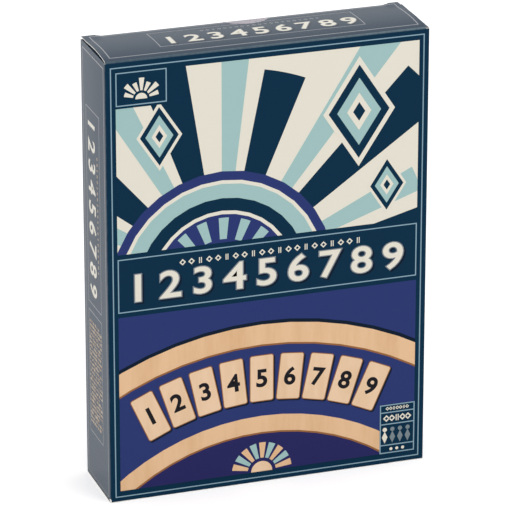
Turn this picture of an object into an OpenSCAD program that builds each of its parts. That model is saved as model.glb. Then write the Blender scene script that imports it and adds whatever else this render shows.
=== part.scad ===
// Boxed tile-flipping dice game: a wooden tray with nine hinged tiles and two dice, standing on
// its end inside a tuck-end folding carton. +Z is up, the printed front faces -Y, and the origin
// is the middle of the bottom. All sizes are in millimetres.

/* [Tray] */
// Width of the tray, across the carton
tray_w = 174; // [160:1:190]
// Length of the tray, along the row of tiles, upright in the carton
tray_l = 244; // [236:1:260]
// Depth of the tray, from its rim to the back of its base
tray_d = 40; // [38:0.5:46]
// Thickness of the four walls
wall_t = 10; // [8:0.5:11]
// Thickness of the plywood base
base_t = 2; // [1.5:0.1:3]
// Thickness of the felt
felt_t = 0.5; // [0.3:0.1:1]
// Gap between the felt's edge and the walls
felt_gap = 0.2; // [0.1:0.1:0.5]

/* [Tiles] */
// Width of one tile, along the rod
tile_w = 21; // [18:0.2:21.6]
// Gap between two tiles
tile_gap = 0.8; // [0.4:0.1:1.2]
// Thickness of a tile
tile_t = 5.5; // [5:0.1:6]
// Length of a tile behind the rod
tile_tail = 5.9; // [5:0.1:6]
// How far a standing tile stays inside the tray's rim
tile_rim_gap = 0; // [0:0.1:4]
// Radius along the free end's two long edges
tile_edge_r = 1.6; // [0.8:0.1:2]
// Gap between a lying tile and the divider bar under it
tile_rest_gap = 0.05; // [0.02:0.01:0.1]

/* [Rod and divider] */
// Radius of the rod that the tiles turn on
rod_r = 1.5; // [1.2:0.05:1.6]
// Height of the rod's axis above the felt
rod_h = 6.4; // [6.3:0.1:7]
// Distance from the rod's axis to the back wall's inner face
rod_wall_gap = 10; // [9.5:0.1:12]
// Depth of the rod's seat in each end wall
rod_seat = 5; // [3:0.5:7]
// Radial clearance of the glued rod in its seats
rod_fit = 0.02; // [0.01:0.01:0.05]
// Radial running clearance of a tile on the rod
tile_fit = 0.08; // [0.04:0.01:0.1]
// Width of the divider bar
divider_w = 7; // [5:0.5:10]
// How far the tiles' free ends lie over the divider bar
divider_lap = 5; // [3:0.5:5]

/* [Dice] */
// Edge of a die
die_s = 12; // [10:0.5:14]
// How deep the rounding cuts into each corner of a die
die_corner_cut = 2.1; // [1.5:0.1:2.6]
// Distance from the front wall to the first die
die_wall_gap = 32; // [10:1:50]
// Distance between the two dice
die_gap = 6; // [3:0.5:20]

/* [Brads] */
// Radius of a corner brad
brad_r = 0.8; // [0.6:0.1:1.2]
// Length of a corner brad
brad_l = 18; // [14:1:22]
// Distance from a brad's axis to the rim, and to the base
brad_inset = 8; // [5:0.5:12]
// Radial clearance of a driven brad
brad_fit = 0.02; // [0.01:0.01:0.05]

/* [Carton] */
// Thickness of the paperboard
board_t = 0.5; // [0.4:0.05:0.6]
// Gap between the tray and each side panel
side_gap = 1.5; // [1.2:0.1:3]
// Gap between the tray's rim and the front panel
front_slot = 0.9; // [0.9:0.1:2]
// Gap between the tray's base and the back panel
back_slot = 1.1; // [1.1:0.1:2]
// Gap between the tray's top and the dust flaps
head_gap = 2.4; // [1:0.1:6]
// How far the top closure bulges upwards
top_bulge = 1.6; // [0.5:0.1:3]
// Distance from the front edge to the highest line of the bulge
bulge_peak = 19; // [12:0.5:24]
// Gap between the top closure's ends and the carton's sides
closure_end_gap = 0.2; // [0:0.1:0.5]

/* [Flaps] */
// Width of the slit-lock ears of the top closure
top_ear_w = 7; // [5:0.5:12]
// Width of the slit-lock ears of the bottom closure
bottom_ear_w = 20; // [12:0.5:24]
// Length of the tuck flaps
tuck_l = 15; // [12:0.5:18]
// Gap between a tuck flap and the panel that it is tucked behind
tuck_gap = 0.15; // [0.1:0.01:0.2]
// Gap of a slit beside a tuck flap
slit_gap = 0.4; // [0.2:0.1:0.8]
// Radius of the tuck flaps' corners
tuck_r = 6; // [3:0.5:8]
// Length of the dust flaps
dust_l = 38; // [30:1:45]
// How far a dust flap narrows on each side
dust_taper = 5; // [2:0.5:8]
// Gap between a dust flap and the tuck flap beside it
dust_gap = 0.25; // [0.2:0.05:0.4]
// Width of the glued seam flap
seam_w = 12; // [10:1:18]
// Distance from the seam flap to each end of its side panel
seam_end_gap = 3; // [1:0.5:8]

/* [Seal and leaflet] */
// Radius of the round wafer seal
seal_r = 13.5; // [10:0.5:16]
// Distance from the seal's middle down to below the back crease
seal_drop = 4; // [0:0.5:7]
// Distance from the carton's middle to the seal's middle
seal_x = 1.5; // [-20:0.5:20]
// Thickness of the seal's film
seal_t = 0.12; // [0.1:0.01:0.2]
// Width of the folded leaflet
leaflet_w = 140; // [100:1:160]
// Length of the folded leaflet
leaflet_l = 210; // [150:1:222]
// Thickness of the folded leaflet
leaflet_t = 0.24; // [0.1:0.01:0.3]
// Gap between the leaflet and the tray's base
leaflet_gap = 0.06; // [0.02:0.01:0.1]

/* [Hidden] */
$fn = 48;
tile_count = 9;
// Steps of the bulge's curve
bulge_steps = 28;
// Length added where a cut runs out of a solid
over = 1;

// The carton is as large as the tray and the gaps need
carton_w = tray_w + 2 * (side_gap + board_t);
carton_d = tray_d + front_slot + back_slot + 2 * board_t;
tray_z = 2 * board_t;
tray_top = tray_z + tray_l;
// Top of the side panels, which the dust flaps lie on
side_top = tray_top + head_gap;
// Top of the front and back panels, where the top closure is creased
crease_z = side_top + board_t;

// Planes of the carton
front_y = -carton_d / 2;
back_y = carton_d / 2;
front_in_y = front_y + board_t;
back_in_y = back_y - board_t;
side_x = carton_w / 2;
side_in_x = side_x - board_t;
// Outer faces of the two tuck flaps
top_tuck_y = back_in_y - tuck_gap;
bottom_tuck_y = front_in_y + tuck_gap;

// Planes of the tray, whose rim faces the front
rim_y = front_in_y + front_slot;
base_back_y = rim_y + tray_d;
base_y = base_back_y - base_t;
felt_y = base_y - felt_t;
inner_x = tray_w / 2 - wall_t;
inner_z = tray_z + wall_t;
inner_top = tray_top - wall_t;
wall_d = base_y - rim_y;

// Rod, tiles and divider
rod_x = inner_x - rod_wall_gap;
rod_y = felt_y - rod_h;
tile_arm = rod_y - rim_y - tile_rim_gap;
tile_pitch = tile_w + tile_gap;
tile_mid_z = (inner_z + inner_top) / 2;
divider_h = rod_h - tile_t / 2 - tile_rest_gap;
divider_x = rod_x - tile_arm + divider_lap;

// How the bulge leans: the power that puts its highest line at bulge_peak
bulge_lean = ln(0.5) / ln(bulge_peak / carton_d);

// ---- Helpers ----

// A box given by its lowest and highest corners
module block(low, high) {
    translate(low) cube(high - low);
}

// A tab that hangs from y = 0 down to y = -l, with its two lower corners rounded
module round_tab(w, l, r) {
    translate([-w / 2, r - l]) square([w, l - r]);
    translate([r - w / 2, -l]) square([w - 2 * r, l]);
    for (side = [-1, 1]) translate([side * (w / 2 - r), r - l]) circle(r);
}

// Height of the bulge at a place across the carton's depth
function bulge_at(y) = top_bulge * sin(180 * pow(max(0, (y - front_y) / carton_d), bulge_lean));

// Outline of a bent sheet on the bulge, as [y, z] points, between two places and two heights
function sheet_outline(y0, y1, low, high) = [
    for (i = [0:bulge_steps]) let (y = y0 + (y1 - y0) * i / bulge_steps) [y, bulge_at(y) + low],
    for (i = [bulge_steps:-1:0]) let (y = y0 + (y1 - y0) * i / bulge_steps) [y, bulge_at(y) + high]
];

// The bent sheet itself, from x0 to x1, standing on the creases
module bent_sheet(x0, x1, y0, y1, low, high) {
    translate([x0, 0, crease_z]) rotate([90, 0, 90])
        linear_extrude(x1 - x0) polygon(sheet_outline(y0, y1, low, high));
}

// ---- Carton ----

module front_panel() {
    color("midnightblue") block([-side_x, front_y, board_t], [side_x, front_in_y, crease_z]);
}

module back_panel() {
    color("midnightblue") block([-side_x, back_in_y, board_t], [side_x, back_y, crease_z]);
}

module side_panel(side) {
    color("darkslateblue") translate([side * (side_x - board_t / 2), 0, (tray_z + side_top) / 2])
        cube([board_t, back_in_y - front_in_y, side_top - tray_z], center = true);
}

// Glued to the inside of the left side panel, from the back panel's edge
module seam_flap() {
    color("wheat") block([-side_in_x, back_in_y - seam_w, tray_z + seam_end_gap],
                         [-side_in_x + board_t, back_in_y, side_top - seam_end_gap]);
}

// Creased along the front panel; its middle ends at the tuck crease and its ears lie on the
// back panel's edge
module top_closure() {
    end_x = side_x - closure_end_gap;
    color("midnightblue") difference() {
        bent_sheet(-end_x, end_x, front_y, back_y, 0, board_t);
        block([-side_x + top_ear_w, top_tuck_y, crease_z - over],
              [side_x - top_ear_w, back_y + over, crease_z + board_t + top_bulge + over]);
    }
}

module top_tuck_flap() {
    color("wheat") translate([0, top_tuck_y, crease_z]) rotate([90, 0, 0])
        linear_extrude(board_t) round_tab(carton_w - 2 * (top_ear_w + slit_gap), tuck_l, tuck_r);
}

// A flap that lies inwards from a side panel, from y0 to y1 and from z up
module dust_flap(side, y0, y1, z) {
    color("wheat") translate([side * side_x, 0, z]) mirror([side > 0 ? 1 : 0, 0, 0])
        linear_extrude(board_t)
            polygon([[0, y0], [dust_l, y0 + dust_taper], [dust_l, y1 - dust_taper], [0, y1]]);
}

module top_dust_flap(side) {
    dust_flap(side, front_in_y + dust_gap, top_tuck_y - board_t - dust_gap, side_top);
}

module bottom_dust_flap(side) {
    dust_flap(side, bottom_tuck_y + board_t + dust_gap, back_in_y - dust_gap, board_t);
}

// Creased along the back panel and tucked in at the front, the other way round from the top
module bottom_closure() {
    color("midnightblue") difference() {
        block([-side_x, front_y, 0], [side_x, back_y, board_t]);
        block([-side_x + bottom_ear_w, front_y - over, -over],
              [side_x - bottom_ear_w, bottom_tuck_y, board_t + over]);
    }
}

module bottom_tuck_flap() {
    color("wheat") translate([0, bottom_tuck_y, board_t]) rotate([-90, 0, 0])
        linear_extrude(board_t) round_tab(carton_w - 2 * (bottom_ear_w + slit_gap), tuck_l, tuck_r);
}

// The seal's part on the top closure, up to the tuck crease
module seal_top_half() {
    color("lightsteelblue") intersection() {
        bent_sheet(seal_x - seal_r, seal_x + seal_r, back_y - seal_r, top_tuck_y,
                   board_t, board_t + seal_t);
        translate([seal_x, back_y + seal_drop, crease_z])
            cylinder(h = board_t + top_bulge + over, r = seal_r);
    }
}

// The seal's part on the back panel
module seal_back_half() {
    color("lightsteelblue") intersection() {
        translate([seal_x, back_y + seal_t, crease_z - seal_drop]) rotate([90, 0, 0])
            cylinder(h = seal_t, r = seal_r);
        block([seal_x - seal_r - over, back_y - over, crease_z - seal_drop - seal_r - over],
              [seal_x + seal_r + over, back_y + over, crease_z]);
    }
}

// Stands on the bottom dust flaps behind the tray
module instruction_leaflet() {
    leaflet_y = base_back_y + leaflet_gap;
    color("white") block([-leaflet_w / 2, leaflet_y, tray_z],
                         [leaflet_w / 2, leaflet_y + leaflet_t, tray_z + leaflet_l]);
}

// ---- Tray ----

// Places one child at each corner brad's head, pointing into the wall behind it
module at_brads() {
    for (side = [-1, 1], y = [rim_y + brad_inset, base_y - brad_inset]) {
        translate([side * (inner_x + wall_t / 2), y, tray_z]) children();
        translate([side * (inner_x + wall_t / 2), y, tray_top]) mirror([0, 0, 1]) children();
    }
}

module brad_holes() {
    at_brads() translate([0, 0, -over]) cylinder(h = brad_l + over + brad_fit, r = brad_r + brad_fit);
}

// One of the two long walls, between the end walls
module long_wall(side) {
    color("peru") difference() {
        translate([side * (inner_x + wall_t / 2), rim_y + wall_d / 2, (inner_z + inner_top) / 2])
            cube([wall_t, wall_d, inner_top - inner_z], center = true);
        brad_holes();
    }
}

// One of the two end walls, from z up, with the rod's blind seat on its inner side
module end_wall(z, seat_z) {
    color("peru") difference() {
        block([-tray_w / 2, rim_y, z], [tray_w / 2, base_y, z + wall_t]);
        brad_holes();
        translate([rod_x, rod_y, seat_z]) cylinder(h = rod_seat + over, r = rod_r + rod_fit);
    }
}

module tray_base() {
    color("burlywood") block([-tray_w / 2, base_y, tray_z], [tray_w / 2, base_back_y, tray_top]);
}

module tray_felt() {
    color("navy") block([felt_gap - inner_x, felt_y, inner_z + felt_gap],
                        [inner_x - felt_gap, base_y, inner_top - felt_gap]);
}

module divider_bar() {
    color("peru") block([divider_x - divider_w, felt_y - divider_h, inner_z],
                        [divider_x, felt_y, inner_top]);
}

module tile_rod() {
    color("silver") translate([rod_x, rod_y, inner_z - rod_seat])
        cylinder(h = inner_top - inner_z + 2 * rod_seat, r = rod_r);
}

module corner_brads() {
    color("silver") at_brads() cylinder(h = brad_l, r = brad_r);
}

// ---- Tiles and dice ----

// A tile's outline across the rod: its free end points to -x and its tail is fully round
module tile_outline() {
    tail_r = tile_t / 2;
    difference() {
        union() {
            translate([tile_edge_r - tile_arm, -tile_t / 2])
                square([tile_arm - tile_edge_r + tile_tail - tail_r, tile_t]);
            translate([-tile_arm, tile_edge_r - tile_t / 2])
                square([tile_edge_r + over, tile_t - 2 * tile_edge_r]);
            for (side = [-1, 1])
                translate([tile_edge_r - tile_arm, side * (tile_t / 2 - tile_edge_r)])
                    circle(tile_edge_r);
            translate([tile_tail - tail_r, 0]) circle(tail_r);
        }
        circle(rod_r + tile_fit);
    }
}

// Tile 1 is at the top of the standing tray, and lies on the divider bar
module tile(number) {
    z = tile_mid_z + ((tile_count + 1) / 2 - number) * tile_pitch - tile_w / 2;
    color("navajowhite") translate([rod_x, rod_y, z]) linear_extrude(tile_w) tile_outline();
}

// A die stands on the lower end wall, against the felt
module die(number) {
    x = die_wall_gap - inner_x + (number - 1) * (die_s + die_gap) + die_s / 2;
    color("tan") translate([x, felt_y - die_s / 2, inner_z + die_s / 2]) intersection() {
        cube(die_s, center = true);
        sphere(r = die_s * sqrt(3) / 2 - die_corner_cut);
    }
}

front_panel();
back_panel();
side_panel(-1);  // left_side_panel
side_panel(1);  // right_side_panel
seam_flap();
top_closure();
top_tuck_flap();
top_dust_flap(-1);  // top_dust_flap_left
top_dust_flap(1);  // top_dust_flap_right
bottom_closure();
bottom_tuck_flap();
bottom_dust_flap(-1);  // bottom_dust_flap_left
bottom_dust_flap(1);  // bottom_dust_flap_right
seal_top_half();
seal_back_half();
instruction_leaflet();
long_wall(1);  // tray_back_wall
long_wall(-1);  // tray_front_wall
end_wall(inner_top, inner_top - over);  // tray_left_wall
end_wall(tray_z, inner_z - rod_seat);  // tray_right_wall
tray_base();
tray_felt();
divider_bar();
tile_rod();
corner_brads();
tile(1);  // tile_1
tile(2);  // tile_2
tile(3);  // tile_3
tile(4);  // tile_4
tile(5);  // tile_5
tile(6);  // tile_6
tile(7);  // tile_7
tile(8);  // tile_8
tile(9);  // tile_9
die(1);  // die_1
die(2);  // die_2
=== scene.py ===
"""A boxed tile-flipping dice game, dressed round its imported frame.

Sizes in the classes are millimetres, and colours are 0 to 255 as a printer would note them.
The bench turns both into Blender's units.
"""

import logging
import math
import random
from contextlib import contextmanager
from dataclasses import dataclass, field
from enum import Enum
from typing import Any, Callable, ClassVar, Iterator, Sequence

import bmesh
import bpy
from mathutils import Matrix, Vector


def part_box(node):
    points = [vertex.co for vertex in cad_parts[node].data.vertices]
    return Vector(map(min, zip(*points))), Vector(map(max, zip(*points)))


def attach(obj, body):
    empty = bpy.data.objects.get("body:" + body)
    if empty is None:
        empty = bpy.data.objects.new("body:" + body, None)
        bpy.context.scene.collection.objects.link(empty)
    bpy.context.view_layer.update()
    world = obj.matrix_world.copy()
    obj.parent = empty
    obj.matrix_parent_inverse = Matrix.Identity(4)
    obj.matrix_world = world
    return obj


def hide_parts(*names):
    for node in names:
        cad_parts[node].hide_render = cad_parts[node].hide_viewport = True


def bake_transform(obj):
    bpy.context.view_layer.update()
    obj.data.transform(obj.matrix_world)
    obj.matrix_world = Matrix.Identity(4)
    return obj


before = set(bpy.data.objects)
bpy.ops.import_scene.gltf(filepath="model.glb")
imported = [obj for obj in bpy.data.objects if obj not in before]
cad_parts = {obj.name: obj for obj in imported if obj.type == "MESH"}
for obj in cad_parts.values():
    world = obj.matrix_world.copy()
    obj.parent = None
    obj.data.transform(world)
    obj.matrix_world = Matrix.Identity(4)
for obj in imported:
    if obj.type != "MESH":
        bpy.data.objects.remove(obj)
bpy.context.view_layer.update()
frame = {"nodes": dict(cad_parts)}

LOG = logging.getLogger("boxed_game")
MM = 0.001
NEAR = 0.01  # millimetres within which two places are the same
ALONG = 0.9  # how much of a direction lies on an axis before it counts as along it
HANDS = {-1: "left", 1: "right"}

Point = tuple[float, float]
Loop = list[Point]
Zone = tuple[float, float, float, float]
Colour = tuple[float, float, float]
Triple = tuple[float, float, float]


# ---- Shader nodes ----


def linear(colour: Colour) -> tuple[float, float, float, float]:
    """Turns a printed colour into the shader's linear one.

    Args:
        colour: Red, green and blue from 0 to 255.
    Returns:
        Linear red, green and blue, and full alpha.
    """
    def channel(part: float) -> float:
        """Undoes the display curve for one channel."""
        part /= 255
        return part / 12.92 if part <= 0.04045 else ((part + 0.055) / 1.055) ** 2.4

    return (*(channel(part) for part in colour), 1.0)


def blend_of(first: Colour, second: Colour, share: float) -> Colour:
    """Returns a colour between two, share of the way to the second."""
    return tuple(a + (b - a) * share for a, b in zip(first, second))


class Value:
    """A number that changes over a surface. Arithmetic on it adds Math nodes."""

    def __init__(self, nodes: "Nodes", socket: bpy.types.NodeSocket) -> None:
        """Keeps the nodes that the number belongs to and the socket it comes from."""
        self.nodes, self.socket = nodes, socket

    def math(self, operation: str, *others: Any, clamp: bool = False) -> "Value":
        """Returns a Math node's result with this number first."""
        return self.nodes.math(operation, self, *others, clamp=clamp)

    def __add__(self, other: Any) -> "Value":
        """Adds."""
        return self.math("ADD", other)

    def __sub__(self, other: Any) -> "Value":
        """Subtracts."""
        return self.math("SUBTRACT", other)

    def __rsub__(self, other: Any) -> "Value":
        """Subtracts this number from another."""
        return self.nodes.math("SUBTRACT", other, self)

    def __mul__(self, other: Any) -> "Value":
        """Multiplies."""
        return self.math("MULTIPLY", other)

    def __truediv__(self, other: Any) -> "Value":
        """Divides."""
        return self.math("DIVIDE", other)

    def __pow__(self, other: Any) -> "Value":
        """Raises to a power."""
        return self.math("POWER", other)

    def __abs__(self) -> "Value":
        """Drops the sign."""
        return self.math("ABSOLUTE")

    def clamped(self) -> "Value":
        """Limits the number to 0 and 1."""
        return self.math("ADD", 0.0, clamp=True)

    def step(self, start: float, end: float) -> "Value":
        """Goes evenly from 0 at start to 1 at end, and stays there."""
        return ((self - start) / (end - start)).clamped()


@dataclass(frozen=True)
class Grain:
    """How a noise is made: lumps in a metre, finer noises over them, and the axes' factors."""

    scale: float
    detail: float = 2.0
    rough: float = 0.5
    stretch: Triple = (1, 1, 1)


class Nodes:
    """A node tree, and the one way to add nodes to it."""

    def __init__(self, tree: bpy.types.NodeTree) -> None:
        """Keeps the tree."""
        self.tree = tree

    def node(self, kind: str, settings: dict[str, Any], inputs: dict[Any, Any]) -> bpy.types.Node:
        """Adds a node.

        Args:
            kind: The node's type.
            settings: Its own settings, set first. "stops" are a ramp's places and colours.
            inputs: Values or links for its sockets, by name or number.
        Returns:
            The new node.
        """
        new = self.tree.nodes.new(kind)
        for key, value in settings.items():
            if key == "stops":
                ramp = new.color_ramp.elements
                while len(ramp) < len(value):
                    ramp.new(0.5)
                for stop, (place, colour) in zip(ramp, value):
                    stop.position, stop.color = place, linear(colour)
            else:
                setattr(new, key, value)
        for key, value in inputs.items():
            self.feed(new.inputs[key], value)
        return new

    def feed(self, socket: bpy.types.NodeSocket, value: Any) -> None:
        """Links a value or a socket to a socket, or sets a constant on it.

        Args:
            socket: The socket to feed.
            value: A Value, another node's socket or a constant.
        """
        source = value.socket if isinstance(value, Value) else value
        if isinstance(source, bpy.types.NodeSocket):
            self.tree.links.new(source, socket)
        else:
            socket.default_value = source

    def math(self, operation: str, *values: Any, clamp: bool = False) -> Value:
        """Returns the result of a Math node on some numbers, each a Value, a socket or a constant."""
        settings = {"operation": operation, "use_clamp": clamp}
        return Value(self, self.node("ShaderNodeMath", settings, dict(enumerate(values))).outputs[0])


class Paint(Nodes):
    """The node tree of one finish, round a single principled shader."""

    MIX_IN: ClassVar[tuple[int, int, int]] = (0, 6, 7)
    MIX_OUT: ClassVar[int] = 2

    def __init__(self, name: str) -> None:
        """Makes the material and finds its shader.

        Args:
            name: The material's name.
        """
        self.material = bpy.data.materials.new(name)
        self.material.use_nodes = True
        super().__init__(self.material.node_tree)
        self.shader = self.tree.nodes["Principled BSDF"]

    def place(self, scale: Triple = (1, 1, 1)) -> bpy.types.NodeSocket:
        """Returns the object's coordinates in metres, scaled along each axis."""
        spot = self.node("ShaderNodeTexCoord", {}, {}).outputs["Object"]
        return self.node("ShaderNodeMapping", {}, {"Vector": spot, "Scale": scale}).outputs[0]

    def axes(self) -> tuple[Value, Value, Value]:
        """Returns the object's x, y and z in metres."""
        split = self.node("ShaderNodeSeparateXYZ", {}, {0: self.place()})
        return tuple(Value(self, out) for out in split.outputs)

    def facing(self) -> Value:
        """Returns 0 where the surface is seen straight on, and 1 where it is seen edge on."""
        return Value(self, self.node("ShaderNodeLayerWeight", {}, {"Blend": 0.5}).outputs["Facing"])

    def noise(self, grain: Grain) -> Value:
        """Returns a noise from 0 to 1."""
        made = self.node("ShaderNodeTexNoise", {}, {
            "Vector": self.place(grain.stretch), "Scale": grain.scale, "Detail": grain.detail,
            "Roughness": grain.rough,
        })
        return Value(self, made.outputs[0])

    def blend(self, share: Any, first: Any, second: Any) -> bpy.types.NodeSocket:
        """Mixes two colours.

        Args:
            share: How much of the second shows.
            first: A printed colour or a socket.
            second: A printed colour or a socket.
        Returns:
            The mixed colour's socket.
        """
        colours = [linear(c) if isinstance(c, tuple) else c for c in (first, second)]
        made = self.node("ShaderNodeMix", {"data_type": "RGBA"}, dict(zip(self.MIX_IN, (share, *colours))))
        return made.outputs[self.MIX_OUT]

    def ramp(self, share: Value, stops: Sequence[tuple[float, Colour]]) -> bpy.types.NodeSocket:
        """Returns a ramp's colour at a share."""
        return self.node("ShaderNodeValToRGB", {"stops": stops}, {0: share}).outputs[0]

    def bump(self, height: Value, depth: float) -> None:
        """Raises the surface by a height from 0 to 1, times a depth in millimetres."""
        made = self.node("ShaderNodeBump", {}, {"Height": height, "Distance": depth * MM, "Strength": 1.0})
        self.set(Normal=made.outputs[0])

    def set(self, **sockets: Any) -> None:
        """Sets or links the shader's sockets.

        Args:
            sockets: Values or links by the socket's name, with _ for each space.
        """
        for name, value in sockets.items():
            if isinstance(value, tuple) and name == "Base_Color":
                value = linear(value)
            self.feed(self.shader.inputs[name.replace("_", " ")], value)

    def colour(self) -> bpy.types.NodeSocket:
        """Returns the socket that feeds the shader's colour so far."""
        return self.shader.inputs["Base Color"].links[0].from_socket


# ---- Finishes ----


@dataclass(frozen=True)
class Finish:
    """What all finishes share: a name, and a material that is painted once."""

    name: str

    def material(self) -> bpy.types.Material:
        """Returns the finish's material, painted at the first call.

        Returns:
            The material.
        """
        found = bpy.data.materials.get(self.name)
        if found is None:
            paint = Paint(self.name)
            self.apply(paint)
            found = paint.material
        return found

    def apply(self, paint: Paint) -> None:
        """Paints the finish. Each kind has its own way."""
        raise NotImplementedError


@dataclass(frozen=True)
class Ink(Finish):
    """Offset ink under a clear gloss coat, with the board's faint waviness."""

    colour: Colour = (4, 43, 67)
    gloss_ior: float = 1.5
    gloss: float = 0.87
    rough: float = 0.27
    mottle: float = 0.035
    drift: Grain = Grain(28, 3)
    fine: Grain = Grain(900)
    waves: Grain = Grain(55)
    darker: float = 0.86
    paler: float = 1.12
    paler_lift: float = 10
    evenness: float = 0.55
    glancing: Point = (0.22, 0.42)
    shine_most: float = 1.12
    shine_fall: float = 0.55
    shine_least: float = 0.1
    wave_depth: float = 0.06

    def apply(self, paint: Paint) -> None:
        """Paints an even ink that varies a little, as on a long print run.

        Args:
            paint: The finish's nodes.
        """
        drift, fine = paint.noise(self.drift), paint.noise(self.fine)
        tone = (drift * 0.7 + fine * 0.3 - 0.5) * 2 * self.mottle
        paler = tuple(min(255, part * self.paler + self.paler_lift) for part in self.colour)
        darker = tuple(part * self.darker for part in self.colour)
        colour = paint.blend((tone * 3 + 0.5).clamped(), darker, paler)
        facing = paint.facing()
        shine = facing.step(*self.glancing) * (self.shine_most - facing * self.shine_fall) * self.gloss
        paint.set(
            Base_Color=paint.blend(self.evenness, colour, self.colour),
            Roughness=drift * 0.1 + 0.5 + fine * 0.04,
            Specular_IOR_Level=0.0,
            Coat_Weight=(shine + self.shine_least).clamped(),
            Coat_Roughness=self.rough,
            Coat_IOR=self.gloss_ior,
        )
        paint.bump(paint.noise(self.waves) * 0.8 + fine * 0.02, self.wave_depth)


@dataclass(frozen=True)
class GroundInk(Ink):
    """The ground ink of the carton, painted paler along the upright creases: partly worn ink, partly a
    painted highlight on the folds.
    """

    worn: Colour = (92, 106, 118)
    wear: float = 0.5
    half: Point = (89.0, 21.5)
    crease: Point = (0.55, 0.1)
    rub: Grain = Grain(420, 4, 0.65, (1, 1, 0.35))
    rubbed: Point = (0.4, 0.66)

    def apply(self, paint: Paint) -> None:
        """Paints the ink, and paints it paler where it is folded: the board showing through, and a painted
        highlight along the crease.

        Args:
            paint: The finish's nodes.
        """
        super().apply(paint)
        x, y, _ = paint.axes()
        start, end = self.crease
        # paler band along each upright crease: partly worn ink, partly painted highlight
        reach = [(abs(axis) / MM).step(size - start, size - end) for axis, size in zip((x, y), self.half)]
        scuff_and_highlight = paint.noise(self.rub).step(*self.rubbed)
        plain = paint.colour()
        paint.set(Base_Color=paint.blend(reach[0] * reach[1] * scuff_and_highlight * self.wear, plain, self.worn))


@dataclass(frozen=True)
class FoldInk(Ink):
    """The ground ink where the lid bends, painted paler along the fold, and more so to the right: partly
    cracked ink, partly a painted highlight.
    """

    worn: Colour = (114, 130, 138)
    half_w: float = 89.0
    foot: Point = (247.45, 247.95)
    crack: Grain = Grain(420, 4, 0.65)
    cracked: Point = (0.25, 0.6)
    crack_depth: float = 0.4
    middle_wear: float = 0.66
    aside_wear: float = 0.22

    def apply(self, paint: Paint) -> None:
        """Paints the ink, and paints it paler along the fold: the pale board through its cracks, and a
        painted highlight.

        Args:
            paint: The finish's nodes.
        """
        super().apply(paint)
        x, _, z = paint.axes()
        cracks = paint.noise(self.crack).step(*self.cracked) * self.crack_depth + (1 - self.crack_depth)
        # paler band along the lid's fold, growing to the right: partly cracked ink, partly painted highlight
        rub = (x / MM / self.half_w * self.aside_wear + self.middle_wear) * cracks * (z / MM).step(*self.foot)
        paint.set(Base_Color=paint.blend(rub.clamped(), paint.colour(), self.worn))


@dataclass(frozen=True)
class PrintedWood(Ink):
    """Ink that shows pale timber, as a picture of wood does."""

    grain: Colour = (212, 164, 114)
    grain_share: float = 0.5
    strands: Grain = Grain(95, 4, 0.6, (1, 1, 0.16))
    strand_edges: Point = (0.42, 0.72)

    def apply(self, paint: Paint) -> None:
        """Paints the ink with printed grain along its length.

        Args:
            paint: The finish's nodes.
        """
        super().apply(paint)
        grain = paint.noise(self.strands).step(*self.strand_edges)
        paint.set(Base_Color=paint.blend(grain * self.grain_share, self.colour, self.grain))


@dataclass(frozen=True)
class Fibrous(Finish):
    """Fine fibres or lines over patches of a second colour: board, paper, drawn wire or sunken ink."""

    colour: Colour
    second: Colour
    fibres: Grain
    patches: Grain
    depth: float
    patch_share: float = 0.5
    patch_edges: Point | None = None
    fibre_edges: Point | None = None
    smoothest: float = 0.85
    roughening: float = 0.1
    ior: float = 1.4
    metal: float = 0.0

    def apply(self, paint: Paint) -> None:
        """Paints the patches, and the fibres that dull and raise the surface.

        Args:
            paint: The finish's nodes.
        """
        fibre, patch = (
            paint.noise(grain).step(*edges) if edges else paint.noise(grain)
            for grain, edges in ((self.fibres, self.fibre_edges), (self.patches, self.patch_edges)))
        paint.set(Base_Color=paint.blend(patch * self.patch_share, self.colour, self.second),
                  Metallic=self.metal, Roughness=fibre * self.roughening + self.smoothest, IOR=self.ior)
        paint.bump(fibre, self.depth)


@dataclass(frozen=True)
class PlainBoard(Fibrous):
    """The carton's uncoated inside: pale recycled board with flecks."""

    fleck: Colour = (150, 143, 132)
    flecks: Grain = Grain(700, 3, 0.6)
    fleck_edges: Point = (0.64, 0.76)

    def apply(self, paint: Paint) -> None:
        """Paints the board, and then a few darker flecks.

        Args:
            paint: The finish's nodes.
        """
        super().apply(paint)
        fleck = paint.noise(self.flecks).step(*self.fleck_edges)
        paint.set(Base_Color=paint.blend(fleck * 0.6, paint.colour(), self.fleck))


@dataclass(frozen=True)
class Timber(Finish):
    """Planed softwood with growth lines, rays and a thin satin varnish."""

    light: Colour = (228, 190, 138)
    dark: Colour = (188, 138, 84)
    pore: Colour = (60, 36, 18)
    along: Triple = (1.0, 1.0, 0.06)
    lines: float = 260.0
    rough: float = 0.42
    wander: float = 14
    rings: float = 46
    ring_edge: float = 1.6
    pore_edges: Point = (0.55, 0.8)
    middle: Point = (0.55, 0.45)
    depth: float = 0.035

    def apply(self, paint: Paint) -> None:
        """Paints the grain.

        Args:
            paint: The finish's nodes.
        """
        wander = paint.noise(Grain(self.wander, 3, 0.5, self.along))
        lines = paint.noise(Grain(self.lines, 3, 0.55, self.along))
        pores = paint.noise(Grain(self.lines * 7, 2, 0.6, self.along))
        rings = ((wander * self.rings).math("SINE") * 0.5 + 0.5) ** self.ring_edge
        late = (rings * 0.55 + lines * 0.55 - 0.1).clamped()
        place, share = self.middle
        tone = paint.ramp(late, ((0.0, self.light), (place, blend_of(self.light, self.dark, share)),
                                 (1.0, self.dark)))
        pore = blend_of(self.dark, self.pore, 0.4)
        paint.set(
            Base_Color=paint.blend(pores.step(*self.pore_edges) * 0.35, tone, pore),
            Roughness=late * 0.1 + self.rough + pores * 0.05,
            IOR=1.42,
        )
        paint.bump(late * 0.6 + pores * 0.4, self.depth)


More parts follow.
